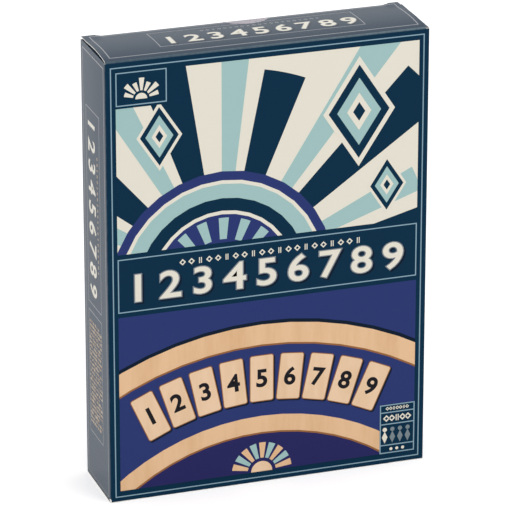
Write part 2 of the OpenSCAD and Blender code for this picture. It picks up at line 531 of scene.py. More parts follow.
@dataclass(frozen=True)
class Plywood(Timber):
    """A thin plywood sheet, whose edge shows its plies."""

    glue: Colour = (120, 84, 52)
    front: float = 17.9
    ply: float = 0.667
    glue_start: Point = (0.05, 0.18)
    glue_end: Point = (0.82, 0.95)

    def apply(self, paint: Paint) -> None:
        """Paints the face veneer, and dark glue lines between the plies.

        Args:
            paint: The finish's nodes.
        """
        super().apply(paint)
        _, y, _ = paint.axes()
        depth = ((y / MM - self.front) / self.ply).math("FRACT")
        glue = (1 - depth.step(*self.glue_start)) + depth.step(*self.glue_end)
        inner = abs(y / MM - self.front - 1.5 * self.ply).math("LESS_THAN", self.ply)
        paint.set(Base_Color=paint.blend(glue.clamped() * inner * 0.5, paint.colour(), self.glue))


@dataclass(frozen=True)
class Felt(Finish):
    """Short napped felt, its fibres pressed in every direction."""

    colour: Colour = (48, 50, 104)
    deep: Colour = (20, 20, 50)
    lint: Colour = (92, 96, 158)
    nap: Grain = Grain(2400, 4, 0.75)
    strands: Grain = Grain(900, 3, 0.7, (1, 1, 0.35))
    clouds: Grain = Grain(36, 3)
    lint_edges: Point = (0.4, 1.0)
    depth: float = 0.3

    def apply(self, paint: Paint) -> None:
        """Paints the nap, with paler lint and soft clouds.

        Args:
            paint: The finish's nodes.
        """
        nap, strands = paint.noise(self.nap), paint.noise(self.strands)
        deep = blend_of(self.colour, self.deep, 0.5)
        base = paint.blend(paint.noise(self.clouds) * 0.5, self.colour, deep)
        lint = (nap * strands * 2).step(*self.lint_edges) * 0.5
        paint.set(Base_Color=paint.blend(lint, base, self.lint),
                  Roughness=nap * 0.08 + 0.9, Sheen_Weight=0.35, Sheen_Roughness=0.5)
        paint.bump(nap * 0.7 + strands * 0.3, self.depth)


@dataclass(frozen=True)
class SealFilm(Finish):
    """A matt clear film whose glue whitens what is under it."""

    colour: Colour = (206, 198, 208)
    milky: Colour = (224, 220, 228)
    glue: Grain = Grain(260, 3, 0.6)
    ripples: Grain = Grain(90)
    depth: float = 0.05

    def apply(self, paint: Paint) -> None:
        """Paints the milky film, denser where the glue is thicker.

        Args:
            paint: The finish's nodes.
        """
        glue = paint.noise(self.glue)
        paint.set(Base_Color=paint.blend(glue * 0.4, self.colour, self.milky),
                  Roughness=glue * 0.1 + 0.3, Alpha=glue * 0.12 + 0.5, IOR=1.35)
        paint.bump(paint.noise(self.ripples), self.depth)


class Inks(Enum):
    """The inks and papers of the print."""

    GROUND = GroundInk("ground_ink")
    FOLD = FoldInk("fold_ink")
    NAVY = Ink("navy_ink")
    SHADE = Ink("shade_ink", (10, 26, 44))
    CREAM = Ink("cream_ink", (235, 228, 210), mottle=0.012)
    TEAL = Ink("pale_teal_ink", (160, 194, 192), mottle=0.015)
    INDIGO = Ink("indigo_ink", (42, 55, 111))
    FELT = Ink("felt_picture_ink", (38, 39, 92))
    LINE = Ink("pale_line_ink", (138, 168, 184), mottle=0.015)
    # a grey copy of the pale line ink for the sides and the lid: painted sheen, as the gloss greys the lines
    # there
    SILVER = Ink("sheen_grey_line_ink", (150, 152, 158), mottle=0.015)
    OUTLINE = Ink("outline_ink", (126, 134, 142))
    GREY = Ink("grey_ink", (120, 134, 140))
    WOOD = PrintedWood("wood_picture_ink", (235, 195, 154))
    PALE_WOOD = PrintedWood("pale_wood_picture_ink", (240, 207, 173), grain=(220, 178, 134))
    BROWN = Ink("brown_picture_ink", (150, 100, 58))
    BLACK = Ink("black_ink", (26, 26, 32))
    FOIL = Ink("foil_ink", (196, 174, 148), rough=0.3)
    DULL_FOIL = Ink("dull_foil_ink", (146, 126, 112), rough=0.3)


BOARD = PlainBoard("plain_board", (205, 200, 190), (219, 214, 205),
                   Grain(1400, 4, 0.7, (1, 1, 0.3)), Grain(40), 0.03, smoothest=0.8)
EDGE = Fibrous("cut_edge", (250, 248, 244), (206, 201, 194),
               Grain(2600, 3, 0.7), Grain(300), 0.04, patch_edges=(0.4, 0.7))
PINE = Timber("tray_pine")
PINE_ACROSS = Timber("tray_pine_across", along=(0.06, 1.0, 1.0))
TILE_WOOD = Timber("tile_birch", (236, 208, 166), (206, 164, 112), along=(0.06, 1, 1), lines=340)
DIE_WOOD = Timber("die_beech", (230, 192, 142), (192, 142, 90), along=(1, 0.08, 1), lines=420)
PLY = Plywood("base_ply", (226, 196, 150), (194, 152, 102))
FELT = Felt("play_felt")
STEEL = Fibrous("drawn_steel", (200, 201, 204), (168, 168, 172),
                Grain(3200, 3, 0.6, (1, 1, 0.02)), Grain(180), 0.01,
                patch_share=0.4, smoothest=0.24, roughening=0.14, ior=1.5, metal=1.0)
FILM = SealFilm("seal_film")
PAPER = Fibrous("leaflet_paper_stock", (238, 236, 228), (226, 223, 214),
                Grain(1800, 4, 0.65), Grain(120, 3), 0.015, smoothest=0.86, roughening=0.08)
STAMP = Fibrous("stamped_black", (24, 22, 24), (66, 54, 44),
                Grain(1500, 3, 0.6), Grain(1500, 3, 0.6), 0.01, patch_share=0.4, patch_edges=(0.6, 0.85),
                fibre_edges=(0.6, 0.85), smoothest=0.5, roughening=0.2)


# ---- The bench ----


class Part(Enum):
    """What an edit-mode step picks."""

    VERTS = "VERT"
    EDGES = "EDGE"
    FACES = "FACE"


Rule = Callable[[Vector, Vector], bool]


def corners(node: str) -> tuple[Vector, Vector]:
    """Returns a node's lowest and highest corners in the frame, in millimetres."""
    low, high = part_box(node)
    return low / MM, high / MM


def turn_to(x: Sequence[float], y: Sequence[float], z: Sequence[float]) -> Matrix:
    """Returns the turn that takes the three axes to three directions."""
    return Matrix((x, y, z)).transposed().to_4x4()


class Bench:
    """Primitives, edit-mode steps and modifiers, as by hand. All sizes are millimetres."""

    sharp: ClassVar[float] = 35.0

    @staticmethod
    def only(piece: bpy.types.Object) -> None:
        """Selects one object and nothing else.

        Args:
            piece: The object, which also becomes the active one.
        """
        bpy.ops.object.select_all(action="DESELECT")
        piece.select_set(True)
        bpy.context.view_layer.objects.active = piece

    @staticmethod
    def settle(piece: bpy.types.Object, name: str) -> bpy.types.Object:
        """Puts an object's place, turn and scale into its mesh, and names it.

        Args:
            piece: The object.
            name: Its name.
        Returns:
            The same object.
        """
        Bench.only(piece)
        bpy.ops.object.transform_apply(location=True, rotation=True, scale=True)
        piece.name = piece.data.name = name
        return piece

    @staticmethod
    def block(name: str, low: Triple, high: Triple) -> bpy.types.Object:
        """Adds a block.

        Args:
            name: The block's name.
            low: Its lowest corner.
            high: Its highest corner.
        Returns:
            The block.
        """
        bpy.ops.mesh.primitive_cube_add(size=1, location=(Vector(low) + Vector(high)) / 2 * MM)
        made = bpy.context.object
        made.scale = (Vector(high) - Vector(low)) * MM
        return Bench.settle(made, name)

    @staticmethod
    def plane(name: str, low: Point, high: Point, z: float) -> bpy.types.Object:
        """Adds a level sheet.

        Args:
            name: The sheet's name.
            low: Its lowest x and y.
            high: Its highest x and y.
            z: Its height.
        Returns:
            The sheet.
        """
        middle = ((low[0] + high[0]) / 2 * MM, (low[1] + high[1]) / 2 * MM, z * MM)
        bpy.ops.mesh.primitive_plane_add(size=1, location=middle)
        made = bpy.context.object
        made.scale = ((high[0] - low[0]) * MM, (high[1] - low[1]) * MM, 1)
        return Bench.settle(made, name)

    @staticmethod
    def rod(name: str, radius: float, foot: Triple, length: float, sides: int) -> bpy.types.Object:
        """Adds an upright rod that stands with its middle on a point."""
        bpy.ops.mesh.primitive_cylinder_add(
            vertices=sides, radius=radius * MM, depth=length * MM,
            location=(Vector(foot) + Vector((0, 0, length / 2))) * MM)
        return Bench.settle(bpy.context.object, name)

    @staticmethod
    @contextmanager
    def editing(piece: bpy.types.Object) -> Iterator[None]:
        """Opens an object in edit mode, and closes it again.

        Args:
            piece: The object.
        """
        Bench.only(piece)
        bpy.ops.object.mode_set(mode="EDIT")
        try:
            yield
        finally:
            bpy.ops.object.mode_set(mode="OBJECT")

    @staticmethod
    def pick(piece: bpy.types.Object, part: Part, rule: Rule) -> None:
        """Selects what a rule names, in edit mode.

        Args:
            piece: The object that is open.
            part: Vertices, edges or faces.
            rule: Gets the middle in millimetres, and a normal or an edge's direction.
        """
        bpy.ops.mesh.select_mode(type=part.value)
        bpy.ops.mesh.select_all(action="DESELECT")
        form = bmesh.from_edit_mesh(piece.data)
        if part is Part.VERTS:
            tests = [(v, v.co / MM, v.normal) for v in form.verts]
        elif part is Part.EDGES:
            tests = [(e, (e.verts[0].co + e.verts[1].co) / 2 / MM,
                      (e.verts[1].co - e.verts[0].co).normalized()) for e in form.edges]
        else:
            tests = [(f, f.calc_center_median() / MM, f.normal) for f in form.faces]
        for element, middle, way in tests:
            if rule(middle, way):
                element.select_set(True)
        bmesh.update_edit_mesh(piece.data)

    @staticmethod
    def shift(by: Triple) -> None:
        """Moves what is selected in edit mode."""
        bpy.ops.transform.translate(value=Vector(by) * MM)

    @staticmethod
    def extrude(by: Triple) -> None:
        """Extrudes what is selected in edit mode."""
        bpy.ops.mesh.extrude_region_move(TRANSFORM_OT_translate={"value": Vector(by) * MM})

    @staticmethod
    def bevel(width: float, segments: int, part: Part = Part.EDGES) -> None:
        """Rounds the selected edges or vertices in edit mode."""
        affect = "VERTICES" if part is Part.VERTS else "EDGES"
        bpy.ops.mesh.bevel(offset=width * MM, segments=segments, affect=affect)

    @staticmethod
    def cut_at(spot: Triple, way: Triple) -> None:
        """Cuts all faces along a plane in edit mode, and keeps both sides."""
        bpy.ops.mesh.select_all(action="SELECT")
        bpy.ops.mesh.bisect(plane_co=Vector(spot) * MM, plane_no=way)

    @staticmethod
    def cut_columns(*places: float) -> None:
        """Cuts all faces in edit mode at some places along x."""
        for place in places:
            Bench.cut_at((place, 0, 0), (1, 0, 0))

    @staticmethod
    def cut_rows(*places: float) -> None:
        """Cuts all faces in edit mode at some places along y."""
        for place in places:
            Bench.cut_at((0, place, 0), (0, 1, 0))

    @staticmethod
    def turn_over() -> None:
        """Turns all faces over in edit mode."""
        bpy.ops.mesh.select_all(action="SELECT")
        bpy.ops.mesh.flip_normals()

    @staticmethod
    def modify(piece: bpy.types.Object, kind: str, **settings: Any) -> None:
        """Adds a modifier and applies it.

        Args:
            piece: The object.
            kind: The modifier's type.
            settings: Its settings.
        """
        Bench.only(piece)
        step = piece.modifiers.new(kind.lower(), kind)
        for key, value in settings.items():
            setattr(step, key, value)
        bpy.ops.object.modifier_apply(modifier=step.name)

    @staticmethod
    def ease(piece: bpy.types.Object, width: float, segments: int = 2) -> bpy.types.Object:
        """Rounds an object's sharp edges.

        Args:
            piece: The object.
            width: How wide the rounding is.
            segments: How many faces it has.
        Returns:
            The same object.
        """
        Bench.modify(piece, "BEVEL", width=width * MM, segments=segments, limit_method="ANGLE",
                     angle_limit=math.radians(Bench.sharp))
        Bench.smooth(piece)
        return piece

    @staticmethod
    def smooth(piece: bpy.types.Object, angle: float = 32.0) -> None:
        """Shades an object smoothly, except over edges sharper than an angle."""
        Bench.only(piece)
        bpy.ops.object.shade_smooth_by_angle(angle=math.radians(angle))

    @staticmethod
    def copy(piece: bpy.types.Object, name: str, by: Triple, turn: Triple = (0, 0, 0)) -> bpy.types.Object:
        """Copies an object with a mesh of its own.

        Args:
            piece: The object.
            name: The copy's name.
            by: How far the copy is moved.
            turn: How far it is turned round each axis before, in radians.
        Returns:
            The copy.
        """
        made = piece.copy()
        made.data = piece.data.copy()
        bpy.context.scene.collection.objects.link(made)
        made.location, made.rotation_euler = Vector(by) * MM, turn
        return Bench.settle(made, name)

    @staticmethod
    def join(pieces: Sequence[bpy.types.Object], name: str) -> bpy.types.Object:
        """Joins objects into the first.

        Args:
            pieces: The objects.
            name: The result's name.
        Returns:
            The joined object.
        """
        bpy.ops.object.select_all(action="DESELECT")
        for piece in pieces:
            piece.select_set(True)
        bpy.context.view_layer.objects.active = pieces[0]
        if len(pieces) > 1:
            bpy.ops.object.join()
        pieces[0].name = pieces[0].data.name = name
        return pieces[0]

    @staticmethod
    def carve(piece: bpy.types.Object, cutter: bpy.types.Object) -> None:
        """Cuts one object's shape out of another, which takes on its finish there."""
        Bench.modify(piece, "BOOLEAN", object=cutter, operation="DIFFERENCE", solver="EXACT",
                     material_mode="TRANSFER")
        bpy.data.objects.remove(cutter)

    @staticmethod
    def dress(piece: bpy.types.Object, *finishes: Finish) -> bpy.types.Object:
        """Gives an object its finishes.

        Args:
            piece: The object.
            finishes: The finishes, one slot each.
        Returns:
            The same object.
        """
        piece.data.materials.clear()
        for finish in finishes:
            piece.data.materials.append(finish.material())
        return piece

    @staticmethod
    def repaint(piece: bpy.types.Object, slot: int, rule: Rule) -> None:
        """Gives some faces the finish in a slot.

        Args:
            piece: The object.
            slot: The finish's slot.
            rule: Names the faces, as in pick.
        """
        with Bench.editing(piece):
            Bench.pick(piece, Part.FACES, rule)
            piece.active_material_index = slot
            bpy.ops.object.material_slot_assign()

    @staticmethod
    def thicken(piece: bpy.types.Object, thickness: float) -> None:
        """Gives a sheet its thickness, inwards, with finish 1 inside and finish 2 on its edges."""
        Bench.modify(piece, "SOLIDIFY", thickness=thickness * MM, offset=-1.0, use_even_offset=True,
                     material_offset=1, material_offset_rim=2)

    @staticmethod
    def fit(piece: bpy.types.Object, body: str, slot: str, *nodes: str) -> None:
        """Lets a finished piece ride on a body, and hides the nodes that it replaces.

        Args:
            piece: The finished piece.
            body: The body that it rides on.
            slot: Not used.
            nodes: The nodes that it replaces. None for trim.
        """
        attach(piece, body)
        if nodes:
            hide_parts(*nodes)
        LOG.info("%s rides on %s, %d faces", piece.name, body, len(piece.data.polygons))


# ---- Printing ----


def box(u0: float, v0: float, u1: float, v1: float) -> Loop:
    """Returns a rectangle's corners."""
    return [(u0, v0), (u1, v0), (u1, v1), (u0, v1)]


def border(u0: float, v0: float, u1: float, v1: float, line: float) -> tuple[Loop, Loop]:
    """Returns the outer and inner loops of a line drawn inside a rectangle."""
    return box(u0, v0, u1, v1), box(u0 + line, v0 + line, u1 - line, v1 - line)


def disc(u: float, v: float, radius: float, sides: int) -> Loop:
    """Returns a circle's points."""
    return arc(u, v, radius, 0, 360 - 360 / sides, sides - 1)


def arc(u: float, v: float, radius: float, start: float, end: float, steps: int = 16) -> Loop:
    """Returns the points of an arc, with angles in degrees."""
    turns = [math.radians(start + (end - start) * i / steps) for i in range(steps + 1)]
    return [(u + radius * math.cos(a), v + radius * math.sin(a)) for a in turns]


def wedge(u: float, v: float, inner: float, outer: float, start: float, end: float) -> Loop:
    """Returns a ring's sector."""
    near = arc(u, v, inner, end, start) if inner else [(u, v)]
    return arc(u, v, outer, start, end) + near


def lozenge(u: float, v: float, width: float, height: float) -> Loop:
    """Returns a diamond's corners."""
    return [(u - width / 2, v), (u, v - height / 2), (u + width / 2, v), (u, v + height / 2)]


def turned(loop: Loop, u: float, v: float, angle: float) -> Loop:
    """Turns a loop about its origin by some degrees, and moves it to a place."""
    cos, sin = math.cos(math.radians(angle)), math.sin(math.radians(angle))
    return [(u + a * cos - b * sin, v + a * sin + b * cos) for a, b in loop]


def rounded(width: float, height: float, radius: float) -> Loop:
    """Returns a rounded rectangle round the origin.

    Args:
        width: Its width.
        height: Its height.
        radius: Its corners' radius.
    Returns:
        Its points.
    """
    loop = []
    for turn, (su, sv) in enumerate(((1, 1), (-1, 1), (-1, -1), (1, -1))):
        loop += arc(su * (width / 2 - radius), sv * (height / 2 - radius), radius,
                    turn * 90, turn * 90 + 90, 5)
    return loop


def clipped(loop: Loop, u0: float, v0: float, u1: float, v1: float) -> Loop:
    """Cuts a loop down to what lies inside a rectangle.

    Args:
        loop: A closed outline.
        u0: The rectangle's left side.
        v0: Its lower side.
        u1: Its right side.
        v1: Its upper side.
    Returns:
        The part inside, which can be empty.
    """
    for axis, limit, sign in ((0, u0, 1), (0, u1, -1), (1, v0, 1), (1, v1, -1)):
        kept: Loop = []
        for here, after in zip(loop, loop[1:] + loop[:1]):
            a, b = ((p[axis] - limit) * sign for p in (here, after))
            if a >= 0:
                kept.append(here)
            if a * b < 0:
                share = a / (a - b)
                kept.append(tuple(p + (q - p) * share for p, q in zip(here, after)))
        loop = kept
    return loop


@dataclass(frozen=True)
class Face:
    """A flat face of the carton that takes print: its origin and the way across and up it."""

    origin: Triple
    across: Triple
    up: Triple

    def matrix(self) -> Matrix:
        """Returns the turn and move from a flat sheet to the face."""
        across, up = Vector(self.across), Vector(self.up)
        return Matrix.Translation(Vector(self.origin) * MM) @ turn_to(across, up, across.cross(up))


Arches = tuple[tuple[Inks, float], ...]


@dataclass(frozen=True)
class FigureRow:
    """A row of large figures: its middle, their height and pitch, its turn and their stretch."""

    spot: Point
    height: float
    pitch: float
    angle: float = 0.0
    stretch: float = 1.2


@dataclass(frozen=True)
class LozengeRow:
    """A row of small open lozenges, with a pair of thin bars in each third place."""

    spot: Point
    count: int
    pitch: float
    size: float
    angle: float = 0.0
    bar: float = 0.16
    bars: Point = (-0.24, 0.08)
    shares: Point = (1.1, 0.55)


@dataclass(frozen=True)
class Fan:
    """A fan of ring sectors, whose inks, reaches and widths take turns. Its turns are in degrees."""

    inks: tuple[Inks, ...]
    layer: int
    turns: range
    inner: float
    reach: tuple[float, ...]
    spread: tuple[float, ...]


@dataclass
class Press:
    """Lays thin layers of ink on one face. Each layer is a little higher than the one before."""

    face: Face
    layer: float = 0.02
    laid: list[bpy.types.Object] = field(default_factory=list)
    glyphs: ClassVar[dict[tuple[str, float], bpy.types.Mesh]] = {}
    measure: ClassVar[dict[str, Matrix]] = {}
    shadow: ClassVar[float] = 0.07
    swell: ClassVar[float] = 0.04
    bold: ClassVar[float] = 0.014
    stamp_bold: ClassVar[float] = 0.03
    weld: ClassVar[float] = 0.001

    def flat(self, data: bpy.types.ID) -> bpy.types.Mesh:
        """Turns a flat curve or text into a mesh one unit thick, on z from 0 to 1.

        Args:
            data: The curve or text.
        Returns:
            The mesh.
        """
        sheet = bpy.data.objects.new(data.name, data)
        bpy.context.scene.collection.objects.link(sheet)
        Bench.only(sheet)
        bpy.ops.object.convert(target="MESH")
        sheet = bpy.context.object
        mesh = sheet.data
        mesh.transform(Matrix.Translation((0, 0, 0.5)))
        bpy.data.objects.remove(sheet)
        return mesh

    def lay(self, ink: Inks, layer: int, mesh: bpy.types.Mesh, spot: Matrix) -> None:
        """Puts a mesh one unit thick on the sheet, as a layer of ink.

        Args:
            ink: The ink.
            layer: 1 for the first layer on the ground.
            mesh: The flat shape, in units.
            spot: Its place on the sheet, in millimetres.
        """
        thick = Matrix.Diagonal((1, 1, layer * self.layer, 1))
        mesh.transform(Matrix.Scale(MM, 4) @ thick @ spot)
        mesh.materials.clear()
        mesh.materials.append(ink.value.material())
        made = bpy.data.objects.new("ink", mesh)
        bpy.context.scene.collection.objects.link(made)
        self.laid.append(made)

    def shape(self, ink: Inks, layer: int, *loops: Loop) -> None:
        """Prints a shape, unless nothing of it is left.

        Args:
            ink: The ink.
            layer: The layer.
            loops: Its outlines. A loop inside another is a hole.
        """
        if not loops or len(loops[0]) < 3:
            return
        curve = bpy.data.curves.new("outline", "CURVE")
        curve.dimensions, curve.fill_mode, curve.extrude = "2D", "BOTH", 0.5
        for loop in loops:
            line = curve.splines.new("POLY")
            line.points.add(len(loop) - 1)
            for point, (u, v) in zip(line.points, loop):
                point.co = (u, v, 0, 1)
            line.use_cyclic_u = True
        self.lay(ink, layer, self.flat(curve), Matrix.Identity(4))

    def glyph(self, body: str, bold: float) -> bpy.types.Mesh:
        """Draws a figure once for each weight, 1 high and centred.

        Args:
            body: The figure.
            bold: How far its outline swells.
        Returns:
            A copy of its shape.
        """
        key = (body, bold)
        if key not in self.glyphs:
            text = bpy.data.curves.new("figure", "FONT")
            text.body, text.extrude, text.offset, text.resolution_u = body, 0.5, bold, 5
            mesh = self.flat(text)
            plain = self.glyph(body, 0.0) if bold else mesh
            low, high = ([pick(v.co[i] for v in plain.vertices) for i in (0, 1)] for pick in (min, max))
            if not bold:
                tall = high[1] - low[1]
                middle = Matrix.Translation((-(low[0] + high[0]) / 2, -(low[1] + high[1]) / 2, 0))
                self.measure[body] = Matrix.Diagonal((1 / tall, 1 / tall, 1, 1)) @ middle
            mesh.transform(self.measure[body])
            self.glyphs[key] = mesh
        return self.glyphs[key].copy()

    def figure(self, ink: Inks, layer: int, body: str, spot: Point, height: float, angle: float,
               bold: float, stretch: float = 1.0) -> None:
        """Prints a figure, turned by some degrees. Bold is how far it swells, as a share of its height."""
        place = (Matrix.Translation((*spot, 0)) @ Matrix.Rotation(math.radians(angle), 4, "Z")
                 @ Matrix.Diagonal((height * stretch, height, 1, 1)))
        self.lay(ink, layer, self.glyph(body, bold), place)

    def title(self, body: str, row: FigureRow) -> None:
        """Prints a row of bold cream figures with an outline and a dropped shadow.

        Args:
            body: The figures.
            row: Where and how large they are.
        """
        drop = row.height * self.shadow
        for place, sign in enumerate(body):
            along = (place - (len(body) - 1) / 2) * row.pitch
            (here,) = turned([(along, 0)], *row.spot, row.angle)
            (below,) = turned([(along + drop, -drop)], *row.spot, row.angle)
            for ink, layer, spot, bold in (
                    (Inks.SHADE, 2, below, self.swell), (Inks.OUTLINE, 3, here, self.swell),
                    (Inks.CREAM, 4, here, self.bold)):
                self.figure(ink, layer, sign, spot, row.height, row.angle, bold, row.stretch)

    def lozenges(self, ink: Inks, layer: int, row: LozengeRow) -> None:
        """Prints a row of lozenges and bars.

        Args:
            ink: The ink.
            layer: The layer.
            row: Where and how large they are.
        """
        size, across = row.size, row.size * row.bar
        for place in range(row.count):
            (here,) = turned([((place - (row.count - 1) / 2) * row.pitch, 0)], *row.spot, row.angle)
            if place % 3 == 2:
                loops = [box(size * at, -size / 2, size * at + across, size / 2) for at in row.bars]
            else:
                loops = [lozenge(0, 0, size * share, size * share) for share in row.shares]
            self.shape(ink, layer, *(turned(loop, *here, row.angle) for loop in loops))

    def fan(self, heart: Point, fan: Fan, zone: Zone) -> None:
        """Prints a fan.

        Args:
            heart: Its middle.
            fan: Its sectors.
            zone: The rectangle that it is cut down to.
        """
        for number, start in enumerate(fan.turns):
            ink, reach, spread = (each[number % len(each)] for each in (fan.inks, fan.reach, fan.spread))
            sector = wedge(*heart, fan.inner, reach, start, start + spread)
            self.shape(ink, fan.layer, clipped(sector, *zone))

    def arches(self, heart: Point, arches: Arches, layer: int, turns: Point, zone: Zone) -> None:
        """Prints arches over each other, the widest first, cut down to a rectangle."""
        for step, (ink, radius) in enumerate(arches):
            self.shape(ink, layer + step, clipped(wedge(*heart, 0, radius, *turns), *zone))

    def finish(self, name: str, rows: Sequence[float] = (), columns: Sequence[float] = (),
               height_at: Callable[[float, float], float] | None = None) -> bpy.types.Object:
        """Joins the layers into one piece and puts it on its face.

        Args:
            name: The piece's name.
            rows: Where a bent face has its folds, up the sheet.
            columns: Where it has them across the sheet.
            height_at: How high a bent face stands at a place across and up the sheet.
        Returns:
            The printed piece.
        """
        piece = Bench.join(self.laid, name)
        with Bench.editing(piece):
            bpy.ops.mesh.select_all(action="SELECT")
            bpy.ops.mesh.remove_doubles(threshold=self.weld * MM)
            Bench.cut_rows(*rows)
            Bench.cut_columns(*columns)
        if height_at:
            for vertex in piece.data.vertices:
                vertex.co.z += height_at(vertex.co.x / MM, vertex.co.y / MM) * MM
        piece.data.transform(self.face.matrix())
        return piece


# ---- The carton ----


def eased(share: float) -> float:
    """Eases a share of the way from 0 to 1."""
    share = min(1.0, max(0.0, share))
    return share * share * (3 - 2 * share)


def curve_at(start: Vector, corner: Vector, end: Vector, share: float) -> Vector:
    """Returns a place on the curve that leaves start towards a corner and ends at end."""
    return start * (1 - share) ** 2 + corner * (2 * share * (1 - share)) + end * share ** 2


@dataclass
class Carton:
    """The folding carton: a printed sleeve, a bulging lid, its flaps, and a closed bottom."""

    half_w: float = 89.0
    half_d: float = 21.5
    board: float = 0.5
    crease_z: float = 247.9
    side_top: float = 247.4
    crease_r: float = 0.55
    bulge: float = 1.5
    bulge_peak: float = 16.5
    lid_left: float = -88.7
    lid_right: float = 87.0
    lid_rows: int = 26
    row_spread: float = 1.15
    back_fold_r: float = 0.62
    back_fold_rows: int = 9
    back_fold_guard: float = 0.12
    front_fold_rows: int = 6
    front_fold_lap: float = 0.01
    front_fold_rise: float = 0.1
    slit: float = 0.12
    chip_size: Triple = (0.75, 3.6, 2.2)
    chip_tilt: float = 0.3
    seam_corner: float = 4.0
    ear_lift: float = 0.55
    ear_rise: float = 3.5
    ear_reach: float = 11.0
    ear_steps: int = 4
    top_ear: float = 81.0
    bottom_ear: float = 69.0
    tuck_y: float = 20.85
    tuck_l: float = 15.0
    tuck_round: float = 6.0
    tuck_half: float = 81.6
    bottom_tuck_half: float = 68.6
    dust_l: float = 38.0
    dust_taper: float = 5.0
    dust_round: float = 3.0
    seal_r: float = 13.5
    seal_sides: int = 64
    seal_drop: float = 4.0
    seal_x: float = 1.5
    film: float = 0.12
    film_share: float = 0.9
    leaf_gap: float = 0.02
    leaf_fold: float = 0.3
    leaf_short: Point = (1.5, 1.0)

    def lid_height(self, x: float, y: float) -> float:
        """Returns how far the lid's outer face stands above the crease at a place.

        Args:
            x: The place across the carton.
            y: Its depth.
        Returns:
            The height of the bulge, with the sprung ears at the back corners.
        """
        lean = math.log(0.5) / math.log(self.bulge_peak / (2 * self.half_d))
        share = min(1.0, max(0.0, (y + self.half_d) / (2 * self.half_d)))
        aside = eased((abs(x) - self.top_ear + self.ear_rise) / self.ear_rise)
        behind = eased((y - self.half_d + self.ear_reach) / self.ear_reach)
        height = self.board + self.bulge * math.sin(math.pi * share ** lean) + self.ear_lift * aside * behind
        into_fold = min(self.back_fold_r, y - self.tuck_y + self.back_fold_r)
        if into_fold > 0 and abs(x) < self.top_ear + self.slit / 2:
            height -= self.back_fold_r - math.sqrt(self.back_fold_r ** 2 - into_fold ** 2)
        return height

    def rows(self) -> list[float]:
        """Returns the depths of the lid's fold lines, closer together near the front.

        Returns:
            The depths, from the front crease to the end of the back fold.
        """
        start, end = self.crease_r - self.half_d, self.tuck_y - self.back_fold_r
        rows = [start + (end - start) * (row / self.lid_rows) ** self.row_spread
                for row in range(self.lid_rows + 1)]
        rows.insert(-1, end - self.back_fold_guard)
        turns = [math.radians(90 * step / self.back_fold_rows) for step in range(1, self.back_fold_rows)]
        return rows + [self.tuck_y - self.back_fold_r * (1 - math.sin(turn)) for turn in turns]

    def columns(self) -> list[float]:
        """Returns where the lid starts to rise towards its ears, on both sides."""
        steps = [self.top_ear - step * self.ear_rise / self.ear_steps for step in range(self.ear_steps + 1)]
        return [side * step for side in HANDS for step in steps]

    def sheet(self, name: str, low: Point, high: Point, z: float) -> bpy.types.Object:
        """Adds a level sheet of board: printed, plain inside and raw at its edges."""
        return Bench.dress(Bench.plane(name, low, high, z), Inks.GROUND.value, BOARD, EDGE)

    def sleeve(self) -> None:
        """Builds the four walls as one folded tube, with its raw glued edge at the back left."""
        tube = Bench.block("carton_sleeve", (-self.half_w, -self.half_d, self.board),
                           (self.half_w, self.half_d, self.side_top))
        Bench.dress(tube, Inks.GROUND.value, BOARD, EDGE)
        inside = self.board - self.half_w
        with Bench.editing(tube):
            Bench.pick(tube, Part.FACES, lambda _, n: abs(n.z) > ALONG)
            bpy.ops.mesh.delete(type="ONLY_FACE")
            Bench.pick(tube, Part.EDGES, lambda m, d: abs(d.z) > ALONG and not (m.x < 0 < m.y))
            Bench.bevel(self.crease_r, 4)
            Bench.cut_columns(inside)
        Bench.thicken(tube, self.board)
        Bench.repaint(tube, 2, lambda m, n: n.y > ALONG and m.x < inside + NEAR)
        Bench.repaint(tube, 0, lambda m, n: n.z > ALONG and m.y < self.half_d - self.board)
        self.chip(tube)
        Bench.smooth(tube)
        Bench.fit(tube, "carton", "carton_board",
                  "front_panel", "back_panel", "left_side_panel", "right_side_panel")

    def chip(self, tube: bpy.types.Object) -> None:
        """Knocks the foot of the front left crease, where the white board shows.

        Args:
            tube: The sleeve.
        """
        corner = Vector((-self.half_w, -self.half_d, self.board))
        slope = Vector([1 / reach for reach in self.chip_size])
        with Bench.editing(tube):
            Bench.cut_at(corner + Vector((0, 0, self.chip_size[2])), tuple(slope))
        Bench.repaint(tube, 2, lambda m, n: (m - corner).dot(slope) < 1
                      and n.x < self.chip_tilt and n.y < self.chip_tilt)

    def seam(self) -> None:
        """Builds the glued flap behind the left wall's raw edge."""
        low, high = corners("seam_flap")
        flap = Bench.dress(Bench.block("seam_board", low, high), BOARD)
        with Bench.editing(flap):
            Bench.pick(flap, Part.EDGES, lambda m, d: abs(d.x) > ALONG and m.y < (low.y + high.y) / 2)
            Bench.bevel(self.seam_corner, 1)
        Bench.fit(flap, "carton", "carton_board", "seam_flap")

    def lid(self) -> None:
        """Builds the bulging lid with its two ears, and the fold that joins it to the front."""
        rows = self.rows()
        lid = self.sheet("lid_board", (self.lid_left, rows[0]), (self.lid_right, self.half_d), self.crease_z)
        with Bench.editing(lid):
            Bench.cut_columns(*self.columns())
            Bench.cut_rows(*rows[1:], self.tuck_y)
            Bench.pick(lid, Part.FACES, lambda m, _: abs(m.x) < self.top_ear and m.y > self.tuck_y)
            bpy.ops.mesh.delete(type="FACE")
            for side in HANDS:
                Bench.pick(lid, Part.EDGES, lambda m, d: abs(m.x - side * self.top_ear) < NEAR
                           and abs(d.y) > ALONG and m.y > self.tuck_y - self.back_fold_r)
                bpy.ops.mesh.edge_split(type="EDGE")
        self.part_ears(lid)
        self.bend(lid)
        Bench.thicken(lid, self.board)
        Bench.smooth(lid)
        Bench.fit(lid, "top_closure", "carton_board", "top_closure")
        self.fold(rows[0])

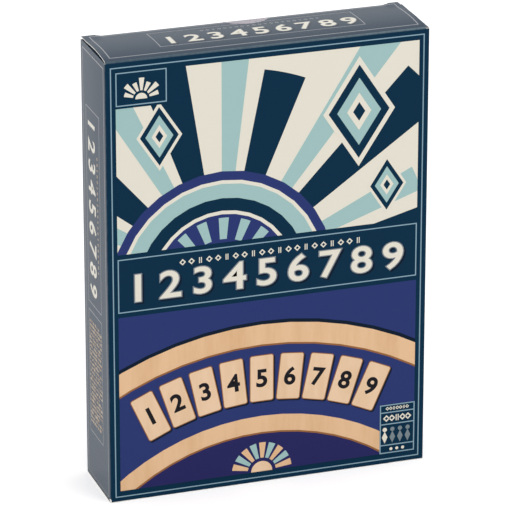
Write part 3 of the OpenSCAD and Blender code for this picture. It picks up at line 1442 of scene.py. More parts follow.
    def part_ears(self, lid: bpy.types.Object) -> None:
        """Opens the slits beside the ears a little, so that each ear keeps its own height.

        Args:
            lid: The lid, still level.
        """
        for face in lid.data.polygons:
            outside = abs(face.center.x) / MM > self.top_ear
            for index in face.vertices:
                spot = lid.data.vertices[index].co
                if outside and abs(abs(spot.x) / MM - self.top_ear) < NEAR \
                        and spot.y / MM > self.tuck_y - self.back_fold_r + NEAR:
                    spot.x += math.copysign(self.slit, spot.x) * MM

    def bend(self, sheet: bpy.types.Object) -> None:
        """Lifts a level sheet on the crease onto the lid's bulge."""
        for vertex in sheet.data.vertices:
            vertex.co.z += self.lid_height(vertex.co.x / MM, vertex.co.y / MM) * MM

    def fold(self, start_y: float) -> None:
        """Builds the rounded fold between the front and the lid.

        Args:
            start_y: Where the lid begins.
        """
        lap = self.front_fold_lap
        top = self.crease_z + self.lid_height(0, start_y)
        strip = Bench.plane("front_fold", (self.lid_left, start_y - lap), (self.lid_right, start_y), top)
        Bench.dress(strip, Inks.FOLD.value, BOARD, EDGE)
        start = Vector((0, start_y - lap, top))
        corner = Vector((0, -self.half_d, top + self.front_fold_rise))
        foot = Vector((0, -self.half_d, self.side_top))
        with Bench.editing(strip):
            Bench.pick(strip, Part.EDGES, lambda m, d: abs(d.x) > ALONG and m.y < start_y - lap / 2)
            here = start
            for step in range(1, self.front_fold_rows + 1):
                after = curve_at(start, corner, foot, step / self.front_fold_rows)
                Bench.extrude(after - here)
                here = after
            bpy.ops.mesh.select_all(action="SELECT")
            bpy.ops.mesh.normals_make_consistent(inside=False)
        up = [p.normal.z for p in strip.data.polygons if p.center.y / MM > start_y - 2 * lap]
        if min(up) < 0:
            strip.data.flip_normals()
        Bench.thicken(strip, self.board)
        Bench.smooth(strip, angle=60)
        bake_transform(strip)
        LOG.info("%s bends between carton and top_closure", strip.name)

    def tuck(self, name: str, node: str, body: str, half: float, y: float, z: float, way: int) -> None:
        """Builds a tuck flap with two rounded corners.

        Args:
            name: The piece's name.
            node: The node that it replaces.
            body: The body that it rides on.
            half: Half its width.
            y: The plane of its outer face.
            z: The height of its crease.
            way: -1 where it hangs down from the crease, and 1 where it stands up.
        """
        flap = self.sheet(name, (-half, -self.tuck_l), (half, 0), 0)
        with Bench.editing(flap):
            Bench.pick(flap, Part.VERTS, lambda m, _: m.y < -NEAR)
            Bench.bevel(self.tuck_round, 6, Part.VERTS)
        out = 1 if y > 0 else -1
        turn = turn_to((way * out, 0, 0), (0, 0, -way), (0, out, 0))
        flap.data.transform(Matrix.Translation(Vector((0, y, z)) * MM) @ turn)
        Bench.thicken(flap, self.board)
        Bench.fit(flap, body, "carton_board", node)

    def dust(self, side: int, top: bool) -> None:
        """Builds one tapered dust flap, whose crease is eased.

        Args:
            side: -1 for the left and 1 for the right.
            top: Whether it is a top flap.
        """
        end, hand = "top" if top else "bottom", HANDS[side]
        node = f"{end}_dust_flap_{hand}"
        low, high = corners(node)
        middle, outer, inner = (low.y + high.y) / 2, side * self.half_w, side * (self.half_w - self.dust_l)
        flap = self.sheet(f"{end}_dust_board_{hand}", (min(outer, inner), low.y), (max(outer, inner), high.y),
                          high.z if top else low.z)
        with Bench.editing(flap):
            for sign in (-1, 1):
                Bench.pick(flap, Part.VERTS,
                           lambda m, _: abs(m.x - inner) < NEAR and (m.y - middle) * sign > 0)
                Bench.shift((0, -sign * self.dust_taper, 0))
            Bench.pick(flap, Part.VERTS, lambda m, _: abs(m.x - inner) < NEAR)
            Bench.bevel(self.dust_round, 4, Part.VERTS)
            if not top:
                Bench.turn_over()
        Bench.thicken(flap, self.board)
        Bench.repaint(flap, 0, lambda m, n: n.x * side > ALONG)
        Bench.fit(flap, f"top_dust_{hand}" if top else "carton", "carton_board", node)

    def bottom(self) -> None:
        """Builds the closed bottom: the closure with its notched front edge."""
        sheet = self.sheet("bottom_board", (-self.half_w, -self.half_d), (self.half_w, self.half_d), 0)
        with Bench.editing(sheet):
            Bench.cut_columns(-self.bottom_ear, self.bottom_ear)
            Bench.cut_rows(-self.tuck_y)
            Bench.pick(sheet, Part.FACES, lambda m, _: abs(m.x) < self.bottom_ear and m.y < -self.tuck_y)
            bpy.ops.mesh.delete(type="FACE")
            Bench.turn_over()
        Bench.thicken(sheet, self.board)
        Bench.repaint(sheet, 0, lambda m, n: n.y > ALONG)
        Bench.fit(sheet, "carton", "carton_board", "bottom_closure")

    def seal_half(self, name: str, edge: float) -> bpy.types.Object:
        """Adds one half of the round seal, level and round the origin.

        Args:
            name: The half's name.
            edge: Where the seal is cut. What lies beyond along y is left off.
        Returns:
            The half, without its thickness.
        """
        bpy.ops.mesh.primitive_circle_add(vertices=self.seal_sides, radius=self.seal_r * MM, fill_type="NGON")
        half = Bench.dress(Bench.settle(bpy.context.object, name), FILM)
        with Bench.editing(half):
            bpy.ops.mesh.select_all(action="SELECT")
            bpy.ops.mesh.bisect(plane_co=(0, edge * MM, 0), plane_no=(0, 1, 0), clear_outer=True)
        return half

    def seal(self) -> None:
        """Builds the round seal, which is slit along the crease into two halves."""
        centre_y = self.half_d + self.seal_drop
        top = self.seal_half("seal_film_top", self.tuck_y - centre_y)
        with Bench.editing(top):
            Bench.cut_rows(*(row - centre_y for row in self.rows()))
        spot = Vector((self.seal_x, centre_y, self.crease_z + self.film))
        top.data.transform(Matrix.Translation(spot * MM))
        self.bend(top)
        back = self.seal_half("seal_film_back", self.seal_drop)
        spot = Vector((self.seal_x, self.half_d + self.film, self.crease_z - self.seal_drop))
        back.data.transform(Matrix.Translation(spot * MM) @ turn_to((-1, 0, 0), (0, 0, 1), (0, 1, 0)))
        for half, body, node in ((top, "top_closure", "seal_top_half"), (back, "carton", "seal_back_half")):
            Bench.modify(half, "SOLIDIFY", thickness=self.film * MM * self.film_share, offset=-1.0)
            Bench.smooth(half)
            Bench.fit(half, body, "wafer_seal", node)

    def leaflet(self) -> None:
        """Builds the folded rules leaflet behind the tray: two leaves and a rounded fold."""
        low, high = corners("instruction_leaflet")
        leaf = (high.y - low.y - self.leaf_gap) / 2
        sheet = Bench.block("rules_leaflet", low, (high.x, low.y + leaf, high.z))
        with Bench.editing(sheet):
            Bench.pick(sheet, Part.FACES, lambda _, n: n.x > ALONG)
            Bench.extrude((self.leaf_fold, self.leaf_gap, 0))
            Bench.extrude((0, high.y - low.y - leaf - self.leaf_gap, 0))
        aside, above = self.leaf_short
        back = Bench.block("leaf", (low.x + aside, high.y - leaf, low.z),
                           (high.x + self.leaf_fold, high.y, high.z - above))
        sheet = Bench.dress(Bench.join([sheet, back], "rules_leaflet"), PAPER)
        Bench.fit(sheet, "carton", "leaflet_paper", "instruction_leaflet")

    def build(self) -> None:
        """Builds the carton, piece by piece."""
        self.sleeve()
        self.seam()
        self.lid()
        self.tuck("top_tuck_board", "top_tuck_flap", "top_tuck",
                  self.tuck_half, self.tuck_y, self.crease_z, -1)
        self.tuck("bottom_tuck_board", "bottom_tuck_flap", "carton",
                  self.bottom_tuck_half, -self.tuck_y, self.board, 1)
        for side in HANDS:
            for top in (True, False):
                self.dust(side, top)
        self.bottom()
        self.seal()
        self.leaflet()


# ---- The carton's print ----


@dataclass(frozen=True)
class RayPicture:
    """The front's upper picture: a rising fan with rays and lozenges."""

    press: Press
    zone: Zone
    heart: Point = (-26.0, -22.0)
    rays: Fan = Fan((Inks.NAVY, Inks.TEAL), 2, range(3, 178, 16), 40, (190, 118, 150), (11.5, 7.0))
    arches: Arches = ((Inks.INDIGO, 62), (Inks.CREAM, 57), (Inks.TEAL, 55), (Inks.NAVY, 47),
                      (Inks.CREAM, 40), (Inks.INDIGO, 38))
    spokes: Fan = Fan((Inks.TEAL,), 9, range(24, 145, 20), 24, (36,), (9,))
    lozenge_size: Point = (34, 52)
    lozenges: tuple[Triple, ...] = ((50, 206, 1.0), (-60, 205, 0.62), (66, 163, 0.55))
    lozenge_inks: Arches = ((Inks.CREAM, 1.18), (Inks.NAVY, 1.0), (Inks.TEAL, 0.72), (Inks.CREAM, 0.4),
                            (Inks.NAVY, 0.2))

    def lay(self) -> None:
        """Prints the picture."""
        self.press.shape(Inks.CREAM, 1, box(*self.zone))
        heart = (self.heart[0], self.zone[1] + self.heart[1])
        self.press.fan(heart, self.rays, self.zone)
        self.press.arches(heart, self.arches, 3, (0, 180), self.zone)
        self.press.fan(heart, self.spokes, self.zone)
        width, height = self.lozenge_size
        for u, v, size in self.lozenges:
            for layer, (ink, share) in enumerate(self.lozenge_inks, 4):
                stone = lozenge(u, v, width * size * share, height * size * share)
                self.press.shape(ink, layer, clipped(stone, *self.zone))


@dataclass(frozen=True)
class TileFan:
    """The front's lower picture: a fan of nine wooden tiles over a banded arch."""

    press: Press
    zone: Zone
    figures: str
    hub: Point = (-4.0, -92.0)
    arch_turns: Point = (50, 130)
    arches: Arches = ((Inks.SHADE, 186), (Inks.WOOD, 184), (Inks.BROWN, 172.5), (Inks.INDIGO, 171.5),
                      (Inks.WOOD, 131), (Inks.BROWN, 121.5), (Inks.FELT, 120.5))
    tile_ring: float = 153
    tile_turn: float = 6.0
    tile: Triple = (13.6, 27, 1.4)
    tile_face: Triple = (12.7, 26.1, 1.1)
    tile_drop: Point = (0.8, -0.9)
    figure_h: float = 9.6
    sun: Fan = Fan((Inks.WOOD, Inks.TEAL), 9, range(6, 159, 19), 8, (17,), (13,))
    sun_r: float = 6

    def lay(self) -> None:
        """Prints the picture."""
        self.press.shape(Inks.INDIGO, 1, box(*self.zone))
        self.press.arches(self.hub, self.arches, 2, self.arch_turns, self.zone)
        for number, figure in enumerate(self.figures):
            turn = (len(self.figures) // 2 - number) * self.tile_turn
            (spot,) = turned([(self.tile_ring, 0)], *self.hub, 90 + turn)
            (drop,) = turned([self.tile_drop], *spot, 0)
            for ink, layer, form, place in (
                    (Inks.SHADE, 9, self.tile, drop), (Inks.BROWN, 10, self.tile, spot),
                    (Inks.PALE_WOOD, 11, self.tile_face, spot)):
                self.press.shape(ink, layer, turned(rounded(*form), *place, turn))
            self.press.figure(Inks.BLACK, 12, figure, spot, self.figure_h, turn, self.press.stamp_bold)
        heart = (self.hub[0], self.zone[1])
        self.press.fan(heart, self.sun, self.zone)
        self.press.arches(heart, ((Inks.PALE_WOOD, self.sun_r),), 9, (0, 180), self.zone)


@dataclass(frozen=True)
class Badge:
    """The front's small badge at the lower right: lozenges, four pawns and three dots."""

    press: Press
    line: float
    zone: Zone = (63.6, 6.4, 83.6, 35.2)
    lines: Triple = (0.16, 0.40, 0.83)
    pawns: int = 4
    pawn_at: float = 0.62
    pawn_start: float = 2.9
    pawn_pitch: float = 4.4
    pawn_body: Point = (3.2, 7.0)
    pawn_drop: float = 1.4
    pawn_rise: float = 3.2
    pawn_head: float = 1.25
    dot_at: float = 0.915
    dot_pitch: float = 3.4
    dot_r: float = 0.9
    sides: int = 16
    rows: tuple[tuple[float, int, float, float], ...] = ((0.08, 7, 1.9, 2.0), (0.28, 5, 3.1, 3.6))

    def lay(self) -> None:
        """Prints the badge, whose rows are given as shares of its height from the top."""
        left, low, right, high = self.zone
        middle, height = (left + right) / 2, high - low
        self.press.shape(Inks.GROUND, 11, box(*self.zone))
        self.press.shape(Inks.LINE, 12, *border(*self.zone, self.line))
        for share in self.lines:
            v = high - share * height
            self.press.shape(Inks.LINE, 13, box(left, v - self.line / 2, right, v + self.line / 2))
        for share, count, pitch, size in self.rows:
            row = LozengeRow((middle, high - share * height), count, pitch, size)
            self.press.lozenges(Inks.CREAM, 13, row)
        v = high - self.pawn_at * height
        for number in range(self.pawns):
            u = left + self.pawn_start + number * self.pawn_pitch
            ink = Inks.CREAM if number == 0 else Inks.GREY
            self.press.shape(ink, 13, lozenge(u, v - self.pawn_drop, *self.pawn_body))
            self.press.shape(ink, 14, disc(u, v + self.pawn_rise, self.pawn_head, self.sides))
        v = high - self.dot_at * height
        for place in (-1, 0, 1):
            dot = disc(middle + place * self.dot_pitch, v, self.dot_r, self.sides)
            self.press.shape(Inks.CREAM, 13, dot)


@dataclass(frozen=True)
class Plaque:
    """The front's small plaque at the upper left, with a rising fan."""

    press: Press
    line: float
    ground: Zone = (-83.4, 222.6, -54.7, 242.2)
    frame: Zone = (-83.4, 223.8, -55.8, 242.2)
    heart: Point = (-69.6, 226.9)
    rays: Fan = Fan((Inks.CREAM,), 10, range(9, 154, 24), 4.6, (9.6, 11.5), (15,))
    middle_r: float = 3.2

    def lay(self) -> None:
        """Prints the plaque."""
        self.press.shape(Inks.NAVY, 9, box(*self.ground))
        self.press.shape(Inks.LINE, 10, *border(*self.frame, self.line))
        self.press.fan(self.heart, self.rays, self.frame)
        self.press.arches(self.heart, ((Inks.CREAM, self.middle_r),), 10, (0, 180), self.frame)


@dataclass(frozen=True)
class SmallWords:
    """A block of small print on a side: broken strokes that spell nothing."""

    press: Press
    left: float
    right: float
    lines: int = 25
    pitch: float = 2.42
    top: float = 92.4
    seed: int = 9
    widths: Point = (0.5, 1.2)
    heights: Point = (0.9, 1.75)
    gaps: tuple[float, ...] = (0.3, 0.3, 0.3, 0.9)
    ragged: tuple[float, ...] = (0.0, 0.0, 1.5, 5.0)
    dull_share: float = 0.4

    def lay(self) -> None:
        """Prints the block."""
        strokes: tuple[list[Loop], list[Loop]] = ([], [])
        draw = random.Random(self.seed)
        for line in range(self.lines):
            foot = self.top - line * self.pitch
            start, end = self.left, self.right - draw.choice(self.ragged)
            while start < end:
                width, tall = draw.uniform(*self.widths), draw.uniform(*self.heights)
                stroke = box(start, foot, start + width, foot + tall)
                strokes[draw.random() < self.dull_share].append(stroke)
                start += width + draw.choice(self.gaps)
        for ink, loops in zip((Inks.FOIL, Inks.DULL_FOIL), strokes):
            self.press.shape(ink, 2, *loops)


@dataclass(frozen=True)
class BackPicture:
    """The back's picture: a plan of the tray with its tiles and dice, over rows of dashes."""

    press: Press
    half: float
    figures: str
    ground: Point = (104, 192)
    tile_at: float = 163.0
    tile_pitch: float = 12.0
    tile: Triple = (11.0, 26, 1.0)
    figure_h: float = 8.0
    dice: tuple[Point, Point] = ((-14, 132), (8, 126))
    die: Triple = (9, 9, 1.4)
    die_turn: float = 18
    pip_r: float = 1.1
    pip_sides: int = 16
    dashes: int = 16
    dash_top: float = 94
    dash_pitch: float = 5.0
    dash_h: float = 1.5
    dash_widths: tuple[float, ...] = (70, 66, 72, 58, 68)
    column_pitch: float = 41.0
    column_half: float = 36
    tray: tuple[tuple[Inks, Zone], ...] = (
        (Inks.WOOD, (-62, 110, 62, 186)), (Inks.BROWN, (-56, 116, 56, 180)),
        (Inks.FELT, (-55, 117, 55, 179)))

    def lay(self) -> None:
        """Prints the picture."""
        self.press.shape(Inks.CREAM, 1, box(-self.half, self.ground[0], self.half, self.ground[1]))
        for layer, (ink, zone) in enumerate(self.tray, 2):
            self.press.shape(ink, layer, box(*zone))
        for number, figure in enumerate(self.figures):
            spot = ((number - len(self.figures) // 2) * self.tile_pitch, self.tile_at)
            self.press.shape(Inks.PALE_WOOD, 5, turned(rounded(*self.tile), *spot, 0))
            self.press.figure(Inks.BLACK, 6, figure, spot, self.figure_h, 0, self.press.stamp_bold)
        for spot in self.dice:
            self.press.shape(Inks.PALE_WOOD, 5, turned(rounded(*self.die), *spot, self.die_turn))
            self.press.shape(Inks.BLACK, 6, turned(disc(0, 0, self.pip_r, self.pip_sides), *spot, 0))
        for column in (-1, 1):
            for line in range(self.dashes):
                width = self.dash_widths[(line + column) % len(self.dash_widths)]
                u, v = column * self.column_pitch - self.column_half, self.dash_top - line * self.dash_pitch
                self.press.shape(Inks.LINE, 1, box(u, v, u + width, v + self.dash_h))


@dataclass
class CartonPrint:
    """The generic print on the carton's faces: plain figures, rays, fans and lozenges."""

    carton: Carton
    figures: str = "123456789"
    inset: float = 2.75
    lid_inset: float = 3.3
    line: float = 0.6
    thin: float = 0.8
    zone_half: float = 83.4
    picture: Point = (141.6, 241.9)
    band: Point = (108.7, 139.0)
    table: Point = (6.4, 106.2)
    band_figures: FigureRow = FigureRow((-1.2, 121.9), 14.7, 17.8)
    band_row: LozengeRow = LozengeRow((1.2, 133.3), 21, 4.9, 3.3)
    side_frame: Zone = (-14.0, 103.6, 9.6, 214.4)
    side_figures: FigureRow = FigureRow((-4.0, 159.3), 11.4, 11.6, -90, 0.95)
    side_row: LozengeRow = LozengeRow((5.3, 158), 21, 3.2, 1.9, -90)
    words_frame: Zone = (-14.0, 28.4, 9.6, 99.2)
    words_margin: Point = (1.4, 1.2)
    lid_frame: Zone = (-55.6, -10.4, 57.4, 14.0)
    lid_figures: FigureRow = FigureRow((2.0, -1.8), 10.4, 12.3)
    lid_row: LozengeRow = LozengeRow((5.0, 8.6), 21, 3.2, 2.2)
    back_band: Point = (196, 226)
    back_figures: FigureRow = FigureRow((0, 210), 13.5, 16.6)

    def rim(self, press: Press) -> None:
        """Prints the thin line round the front or the back."""
        edge, top = self.carton.half_w - self.inset, self.carton.crease_z - self.inset
        press.shape(Inks.LINE, 1, *border(-edge, self.inset, edge, top, self.line))

    def front(self) -> None:
        """Prints the front: a ray picture, the row of figures, and the fan of tiles."""
        press = Press(Face((0, -self.carton.half_d, 0), (1, 0, 0), (0, 0, 1)))
        picture, band, table = ((-self.zone_half, low, self.zone_half, high)
                                for low, high in (self.picture, self.band, self.table))
        self.rim(press)
        RayPicture(press, picture).lay()
        press.shape(Inks.LINE, 1, *border(*band, self.line))
        press.title(self.figures, self.band_figures)
        press.lozenges(Inks.CREAM, 2, self.band_row)
        TileFan(press, table, self.figures).lay()
        Badge(press, self.line).lay()
        Plaque(press, self.line).lay()
        Bench.fit(press.finish("front_print"), "carton", "carton_board")

    def side(self, hand: int) -> None:
        """Prints one side: a tall frame of figures over a frame of small print.

        Args:
            hand: -1 for the left and 1 for the right.
        """
        carton = self.carton
        press = Press(Face((hand * carton.half_w, 0, 0), (0, hand, 0), (0, 0, 1)))
        edge, top, foot = carton.half_d - self.inset, carton.side_top - self.inset, self.inset
        inner, under = edge - self.line, top - self.line
        # the side's lines in the grey line ink: painted sheen over the pale line colour
        press.shape(Inks.SILVER, 1, [(-edge, foot), (-inner, foot), (-inner, under), (inner, under),
                                     (inner, foot), (edge, foot), (edge, top), (-edge, top)])
        press.shape(Inks.SILVER, 1, box(-inner, foot, inner, foot + self.line / 3))
        press.shape(Inks.SILVER, 1, *border(*self.side_frame, self.line * self.thin))
        press.title(self.figures, self.side_figures)
        press.lozenges(Inks.FOIL, 2, self.side_row)
        press.shape(Inks.SILVER, 1, *border(*self.words_frame, self.line * self.thin))
        left, _, right, _ = self.words_frame
        SmallWords(press, left + self.words_margin[0], right - self.words_margin[1]).lay()
        Bench.fit(press.finish(f"side_print_{HANDS[hand]}"), "carton", "carton_board")

    def lid(self) -> None:
        """Prints the lid: a border, and a frame with a row of figures."""
        carton = self.carton
        press = Press(Face((0, 0, carton.crease_z), (1, 0, 0), (0, 1, 0)))
        edge = carton.half_d - self.inset
        rim = (carton.lid_left + self.lid_inset, -edge + self.line * 1.5,
               carton.lid_right - self.lid_inset + self.line, edge)
        # the lid's lines and lozenges in the grey line ink: painted sheen over the pale line colour
        press.shape(Inks.SILVER, 1, *border(*rim, self.line))
        press.shape(Inks.SILVER, 1, *border(*self.lid_frame, self.line * self.thin))
        press.title(self.figures, self.lid_figures)
        press.lozenges(Inks.SILVER, 2, self.lid_row)
        piece = press.finish("lid_print", carton.rows(), carton.columns(), carton.lid_height)
        Bench.fit(piece, "top_closure", "carton_board")

    def back(self) -> None:
        """Prints the back: the row of figures, a plan of the tray and rows of dashes."""
        press = Press(Face((0, self.carton.half_d, 0), (-1, 0, 0), (0, 0, 1)))
        low, high = self.back_band
        self.rim(press)
        press.shape(Inks.LINE, 1, *border(-self.zone_half, low, self.zone_half, high, self.line))
        press.title(self.figures, self.back_figures)
        BackPicture(press, self.zone_half, self.figures).lay()
        Bench.fit(press.finish("back_print"), "carton", "carton_board")

    def build(self) -> None:
        """Prints every face."""
        self.front()
        for hand in HANDS:
            self.side(hand)
        self.lid()
        self.back()


# ---- The tray ----


@dataclass
class Tray:
    """The wooden tray: eased walls and base, felt, divider, rod and brads."""

    ease: float = 0.7
    bar_ease: float = 0.4
    base_ease: float = 0.25
    felt_rim: float = 0.8
    felt_droop: float = 0.15
    felt_margin: float = 2.0
    felt_cuts: int = 24
    nap: float = 0.05
    nap_waves: Triple = (0.31, 0.23, 1.7)
    brad_r: float = 0.8
    brad_l: float = 18.0
    brad_sides: int = 16
    brad_point: float = 0.15
    head_r: float = 1.15
    head_h: float = 0.12
    head_rim: float = 0.25
    head_dome: float = 0.04
    rod_sides: int = 32
    rod_ease: float = 0.35

    def boards(self) -> None:
        """Builds the wooden boards with eased edges."""
        for node, finish, ease in (
                ("tray_back_wall", PINE, self.ease), ("tray_front_wall", PINE, self.ease),
                ("tray_left_wall", PINE_ACROSS, self.ease), ("tray_right_wall", PINE_ACROSS, self.ease),
                ("divider_bar", PINE, self.bar_ease)):
            board = Bench.ease(Bench.block(node + "_board", *corners(node)), ease, segments=3)
            Bench.fit(Bench.dress(board, finish), "tray", "tray_wood", node)
        base = Bench.ease(Bench.block("tray_base_ply", *corners("tray_base")), self.base_ease)
        Bench.fit(Bench.dress(base, PLY), "tray", "base_plywood", "tray_base")

    def felt(self) -> None:
        """Builds the glued felt, with a soft edge and a faintly uneven nap."""
        low, high = corners("tray_felt")
        cloth = Bench.block("play_felt_sheet", low, high)
        with Bench.editing(cloth):
            Bench.pick(cloth, Part.FACES, lambda _, n: n.y < -ALONG)
            bpy.ops.mesh.inset(thickness=self.felt_rim * MM)
            Bench.pick(cloth, Part.EDGES, lambda m, _: m.y < low.y + NEAR
                       and (m.x < low.x + NEAR or m.x > high.x - NEAR
                            or m.z < low.z + NEAR or m.z > high.z - NEAR))
            Bench.shift((0, self.felt_droop, 0))
            Bench.pick(cloth, Part.FACES, lambda m, n: n.y < -ALONG
                       and low.x + self.felt_margin < m.x < high.x - self.felt_margin)
            bpy.ops.mesh.subdivide(number_cuts=self.felt_cuts)
        along, up, start = self.nap_waves
        for vertex in cloth.data.vertices:
            x, y, z = vertex.co / MM
            if y < low.y + NEAR:
                vertex.co.y += self.nap * MM * (1 + math.sin(x * along) * math.sin(z * up + start))
        Bench.smooth(cloth, angle=50)
        Bench.fit(Bench.dress(cloth, FELT), "tray", "felt", "tray_felt")

    def brad(self) -> bpy.types.Object:
        """Builds one brad, which stands on its point at the origin.

        Returns:
            The brad, with its flat, slightly domed head.
        """
        brad = Bench.rod("brad", self.brad_r, (0, 0, 0), self.brad_l, self.brad_sides)
        with Bench.editing(brad):
            Bench.pick(brad, Part.FACES, lambda _, n: n.z > ALONG)
            bpy.ops.mesh.extrude_region_move(TRANSFORM_OT_translate={"value": (0, 0, 0)})
            bpy.ops.transform.resize(value=(self.head_r / self.brad_r,) * 2 + (1,))
            Bench.extrude((0, 0, self.head_h))
            bpy.ops.mesh.inset(thickness=self.head_rim * MM)
            Bench.shift((0, 0, self.head_dome))
            Bench.pick(brad, Part.FACES, lambda m, n: n.z < -ALONG and m.z < NEAR)
            bpy.ops.transform.resize(value=(self.brad_point, self.brad_point, 1))
        return brad

    def brads(self) -> None:
        """Copies the brad to the tray's eight corners, half of them driven upwards."""
        low, high = corners("corner_brads")
        brad = self.brad()
        brads = []
        for x in (low.x + self.brad_r, high.x - self.brad_r):
            for y in (low.y + self.brad_r, high.y - self.brad_r):
                brads.append(Bench.copy(brad, "brad_up", (x, y, high.z - self.brad_l)))
                brads.append(Bench.copy(brad, "brad_down", (x, y, low.z + self.brad_l), (math.pi, 0, 0)))
        bpy.data.objects.remove(brad)
        brads = Bench.join(brads, "brad_set")
        Bench.smooth(brads)
        Bench.fit(Bench.dress(brads, STEEL), "tray", "rod_steel", "corner_brads")

    def rod(self) -> None:
        """Builds the rod that the tiles turn on, with chamfered ends."""
        low, high = corners("tile_rod")
        foot = ((low.x + high.x) / 2, (low.y + high.y) / 2, low.z)
        rod = Bench.rod("hinge_rod", (high.x - low.x) / 2, foot, high.z - low.z, self.rod_sides)
        Bench.ease(rod, self.rod_ease)
        Bench.fit(Bench.dress(rod, STEEL), "tray", "rod_steel", "tile_rod")

    def build(self) -> None:
        """Builds the tray, piece by piece."""
        for make in (self.boards, self.felt, self.brads, self.rod):
            make()


@dataclass
class Tiles:
    """The nine tiles, each with its plain number on both faces."""

    count: int = 9
    edge_r: float = 1.6
    bore_r: float = 1.58
    bore_past: float = 5.0
    bore_sides: int = 32
    bore_rim: float = 0.3
    weld: float = 0.02
    ease: float = 0.45
    number_h: float = 11.5
    number_aside: float = 4.0
    stamp: float = 0.04

    def blank(self) -> bpy.types.Object:
        """Builds one blank tile: round tail, round free edge, bore and eased ends.

        Returns:
            The blank, at the first tile's place.
        """
        low, high = corners("tile_1")
        rod_low, rod_high = corners("tile_rod")
        axis = (rod_low + rod_high) / 2
        tile = Bench.block("tile_blank", low, high)
        with Bench.editing(tile):
            Bench.pick(tile, Part.EDGES, lambda m, d: abs(d.z) > ALONG and m.x > high.x - NEAR)
            Bench.bevel((high.y - low.y) / 2, 8)
            Bench.pick(tile, Part.EDGES, lambda m, d: abs(d.z) > ALONG and m.x < low.x + NEAR)
            Bench.bevel(self.edge_r, 5)
            bpy.ops.mesh.select_all(action="SELECT")
            bpy.ops.mesh.remove_doubles(threshold=self.weld * MM)
        Bench.dress(tile, TILE_WOOD)
        bore = Bench.rod("bore", self.bore_r, (axis.x, axis.y, low.z - self.bore_past),
                         high.z - low.z + 2 * self.bore_past, self.bore_sides)
        Bench.carve(tile, Bench.dress(bore, TILE_WOOD))
        with Bench.editing(tile):
            Bench.pick(tile, Part.EDGES, lambda m, d: abs(d.z) < 1 - ALONG
                       and not low.z + NEAR < m.z < high.z - NEAR
                       and (m - axis).xy.length > self.bore_r + self.bore_rim)
            Bench.bevel(self.ease, 2)
        Bench.smooth(tile)
        return tile

    def number(self, value: int, low: Vector, high: Vector) -> bpy.types.Object:
        """Stamps one tile's number on its two faces.

        Args:
            value: The number.
            low: The tile's lowest corner.
            high: Its highest corner.
        Returns:
            The stamped figures.
        """
        across, up = (low.x + high.x) / 2 - self.number_aside, (low.z + high.z) / 2
        sides = []
        for y, way in ((low.y, (1, 0, 0)), (high.y, (-1, 0, 0))):
            press = Press(Face((across, y, up), (0, 0, -1), way), layer=self.stamp)
            press.figure(Inks.BLACK, 1, str(value), (0, 0), self.number_h, 0, press.stamp_bold)
            sides.append(press.finish(f"figure_{value}"))
        return Bench.dress(Bench.join(sides, f"tile_number_{value}"), STAMP)

    def build(self) -> None:
        """Copies the blank along the rod, and stamps each copy."""
        blank = self.blank()
        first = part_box("tile_1")[0].z
        for value in range(1, self.count + 1):
            node = f"tile_{value}"
            low, high = corners(node)
            tile = Bench.copy(blank, f"tile_wood_{value}", (0, 0, low.z - first / MM))
            Bench.fit(tile, node, "tile_wood", node)
            Bench.fit(self.number(value, low, high), node, "tile_wood")
        bpy.data.objects.remove(blank)


@dataclass
class Dice:
    """The two wooden dice, with drilled and blackened pips."""

    ease: float = 1.5
    pip_r: float = 1.05
    pip_spread: float = 2.9
    pip_depth: float = 0.45
    turns: tuple[Triple, Triple] = ((0, 0, 0), (math.pi / 2, 0, math.pi / 2))
    layout: ClassVar[dict[int, tuple[Point, ...]]] = {
        1: ((0, 0),),
        2: ((-1, -1), (1, 1)),
        3: ((-1, -1), (0, 0), (1, 1)),
        4: ((-1, -1), (-1, 1), (1, -1), (1, 1)),
        5: ((-1, -1), (-1, 1), (1, -1), (1, 1), (0, 0)),
        6: ((-1, -1), (-1, 0), (-1, 1), (1, -1), (1, 0), (1, 1)),
    }
    faces: ClassVar[dict[int, Triple]] = {
        1: (0, -1, 0), 6: (0, 1, 0), 2: (0, 0, 1), 5: (0, 0, -1), 3: (1, 0, 0), 4: (-1, 0, 0),
    }

    def blank(self, size: float) -> bpy.types.Object:
        """Builds one die round the origin.

        Args:
            size: Its width.
        Returns:
            The die, with its pips drilled.
        """
        half = size / 2
        die = Bench.ease(Bench.block("die_blank", (-half,) * 3, (half,) * 3), self.ease, segments=4)
        Bench.dress(die, DIE_WOOD)
        drills = []
        for value, way in self.faces.items():
            out = Vector(way)
            across = Vector((1, 0, 0)) if out.z else Vector((0, 0, 1))
            up = out.cross(across)
            for a, b in self.layout[value]:
                spot = out * (half + self.pip_r - self.pip_depth) + (across * a + up * b) * self.pip_spread
                bpy.ops.mesh.primitive_uv_sphere_add(segments=16, ring_count=8, radius=self.pip_r * MM,
                                                     location=spot * MM)
                drills.append(Bench.settle(bpy.context.object, "drill"))
        Bench.carve(die, Bench.dress(Bench.join(drills, "drills"), STAMP))
        Bench.smooth(die, angle=40)
        return die

    def build(self) -> None:
        """Places the two dice, each showing another face."""
        low, high = corners("die_1")
        blank = self.blank(high.x - low.x)
        for number, turn in enumerate(self.turns, 1):
            node = f"die_{number}"
            low, high = corners(node)
            die = Bench.copy(blank, f"die_wood_{number}", (low + high) / 2, turn)
            Bench.fit(die, node, "die_wood", node)
        bpy.data.objects.remove(blank)


# ---- The studio ----


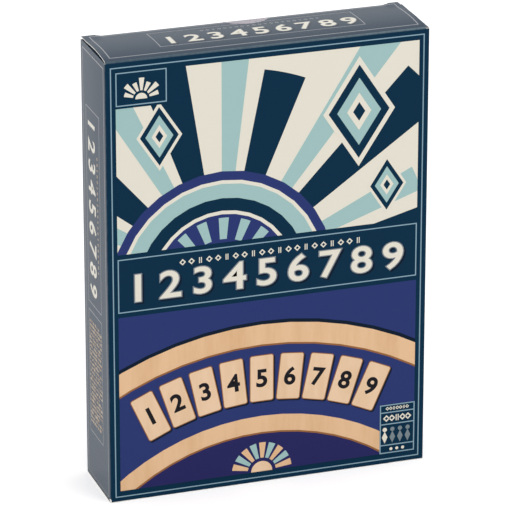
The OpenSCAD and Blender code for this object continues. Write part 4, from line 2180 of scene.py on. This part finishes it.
@dataclass
class Studio:
    """The pale floor, the soft light and the camera."""

    azimuth: float = -18.8
    elevation: float = 21.84
    distance: float = 2.23
    focal: float = 4218.8
    width: float = 512.0
    sensor: float = 36.0
    reach: float = 100.0
    aim: Triple = (0, -21.5, 123.75)
    aside: float = 0.0068
    above: float = -0.0064
    room: float = 0.86
    lamp_power: float = 14.4
    lamp_size: float = 1.6
    lamp_spot: Triple = (1.1, -1.7, 2.1)
    floor_size: float = 12.0
    floor_drop: float = 0.05
    floor_glow: float = 0.42
    floor_colour: Colour = (236, 235, 236)

    def camera(self) -> None:
        """Places the camera by its angles round the front's middle."""
        turn, rise = math.radians(self.azimuth), math.radians(self.elevation)
        back = Vector((math.sin(turn) * math.cos(rise), -math.cos(turn) * math.cos(rise), math.sin(rise)))
        right = Vector((math.cos(turn), math.sin(turn), 0))
        up = back.cross(right)
        spot = Vector(self.aim) * MM - right * self.aside - up * self.above + back * self.distance
        lens = bpy.data.cameras.new("camera")
        lens.sensor_width, lens.lens = self.sensor, self.focal * self.sensor / self.width
        lens.clip_end = self.reach
        camera = bpy.data.objects.new("camera", lens)
        camera.matrix_world = Matrix.Translation(spot) @ turn_to(right, up, back)
        bpy.context.scene.collection.objects.link(camera)
        bpy.context.scene.camera = camera

    def seen(self, nodes: Nodes) -> Value:
        """Returns 1 for rays that show a background: straight, mirrored or through glass."""
        rays = nodes.node("ShaderNodeLightPath", {}, {}).outputs
        return (nodes.math("MAXIMUM", rays["Is Camera Ray"], rays["Is Glossy Ray"])
                .math("MAXIMUM", rays["Is Transmission Ray"]))

    def world(self) -> None:
        """Lights the room evenly, and shows it white."""
        world = bpy.data.worlds.new("room")
        world.use_nodes = True
        nodes = Nodes(world.node_tree)
        limits = {"To Min": self.room, "To Max": 1.0}
        level = nodes.node("ShaderNodeMapRange", {}, {"Value": self.seen(nodes), **limits})
        backdrop = nodes.tree.nodes["Background"].inputs
        nodes.feed(backdrop["Strength"], level.outputs[0])
        nodes.feed(backdrop["Color"], (1, 1, 1, 1))
        bpy.context.scene.world = world

    def floor(self) -> None:
        """Lays the pale floor, which keeps the soft shadow."""
        bpy.ops.mesh.primitive_plane_add(size=self.floor_size, location=(0, 0, -self.floor_drop * MM))
        floor = Bench.settle(bpy.context.object, "floor")
        paint = Paint("floor_paper")
        paint.set(Base_Color=self.floor_colour, Roughness=0.9)
        plain = paint.shader.outputs[0]
        glow = paint.node("ShaderNodeEmission", {}, {"Strength": self.floor_glow}).outputs[0]
        lit = paint.node("ShaderNodeAddShader", {}, {0: plain, 1: glow}).outputs[0]
        shown = paint.node("ShaderNodeMixShader", {}, {0: self.seen(paint), 1: plain, 2: lit}).outputs[0]
        paint.feed(paint.tree.nodes["Material Output"].inputs["Surface"], shown)
        floor.data.materials.append(paint.material)

    def lamp(self) -> None:
        """Hangs one large soft lamp in front, above and to the right."""
        light = bpy.data.lights.new("key", "AREA")
        light.shape, light.size, light.energy = "DISK", self.lamp_size, self.lamp_power
        lamp = bpy.data.objects.new("key", light)
        spot = Vector(self.lamp_spot)
        lamp.matrix_world = Matrix.Translation(spot) @ spot.to_track_quat("Z", "Y").to_matrix().to_4x4()
        bpy.context.scene.collection.objects.link(lamp)

    def build(self) -> None:
        """Sets up the whole studio."""
        for set_up in (self.camera, self.world, self.floor, self.lamp):
            set_up()
        bpy.context.scene.view_settings.view_transform = "Standard"


def main() -> None:
    """Builds every piece in order and reports it."""
    logging.basicConfig(level=logging.INFO, format="%(name)s: %(message)s")
    carton = Carton()
    for part in (Studio(), carton, CartonPrint(carton), Tray(), Tiles(), Dice()):
        part.build()
        LOG.info("%s done", type(part).__name__)


if __name__ == "__main__":
    main()
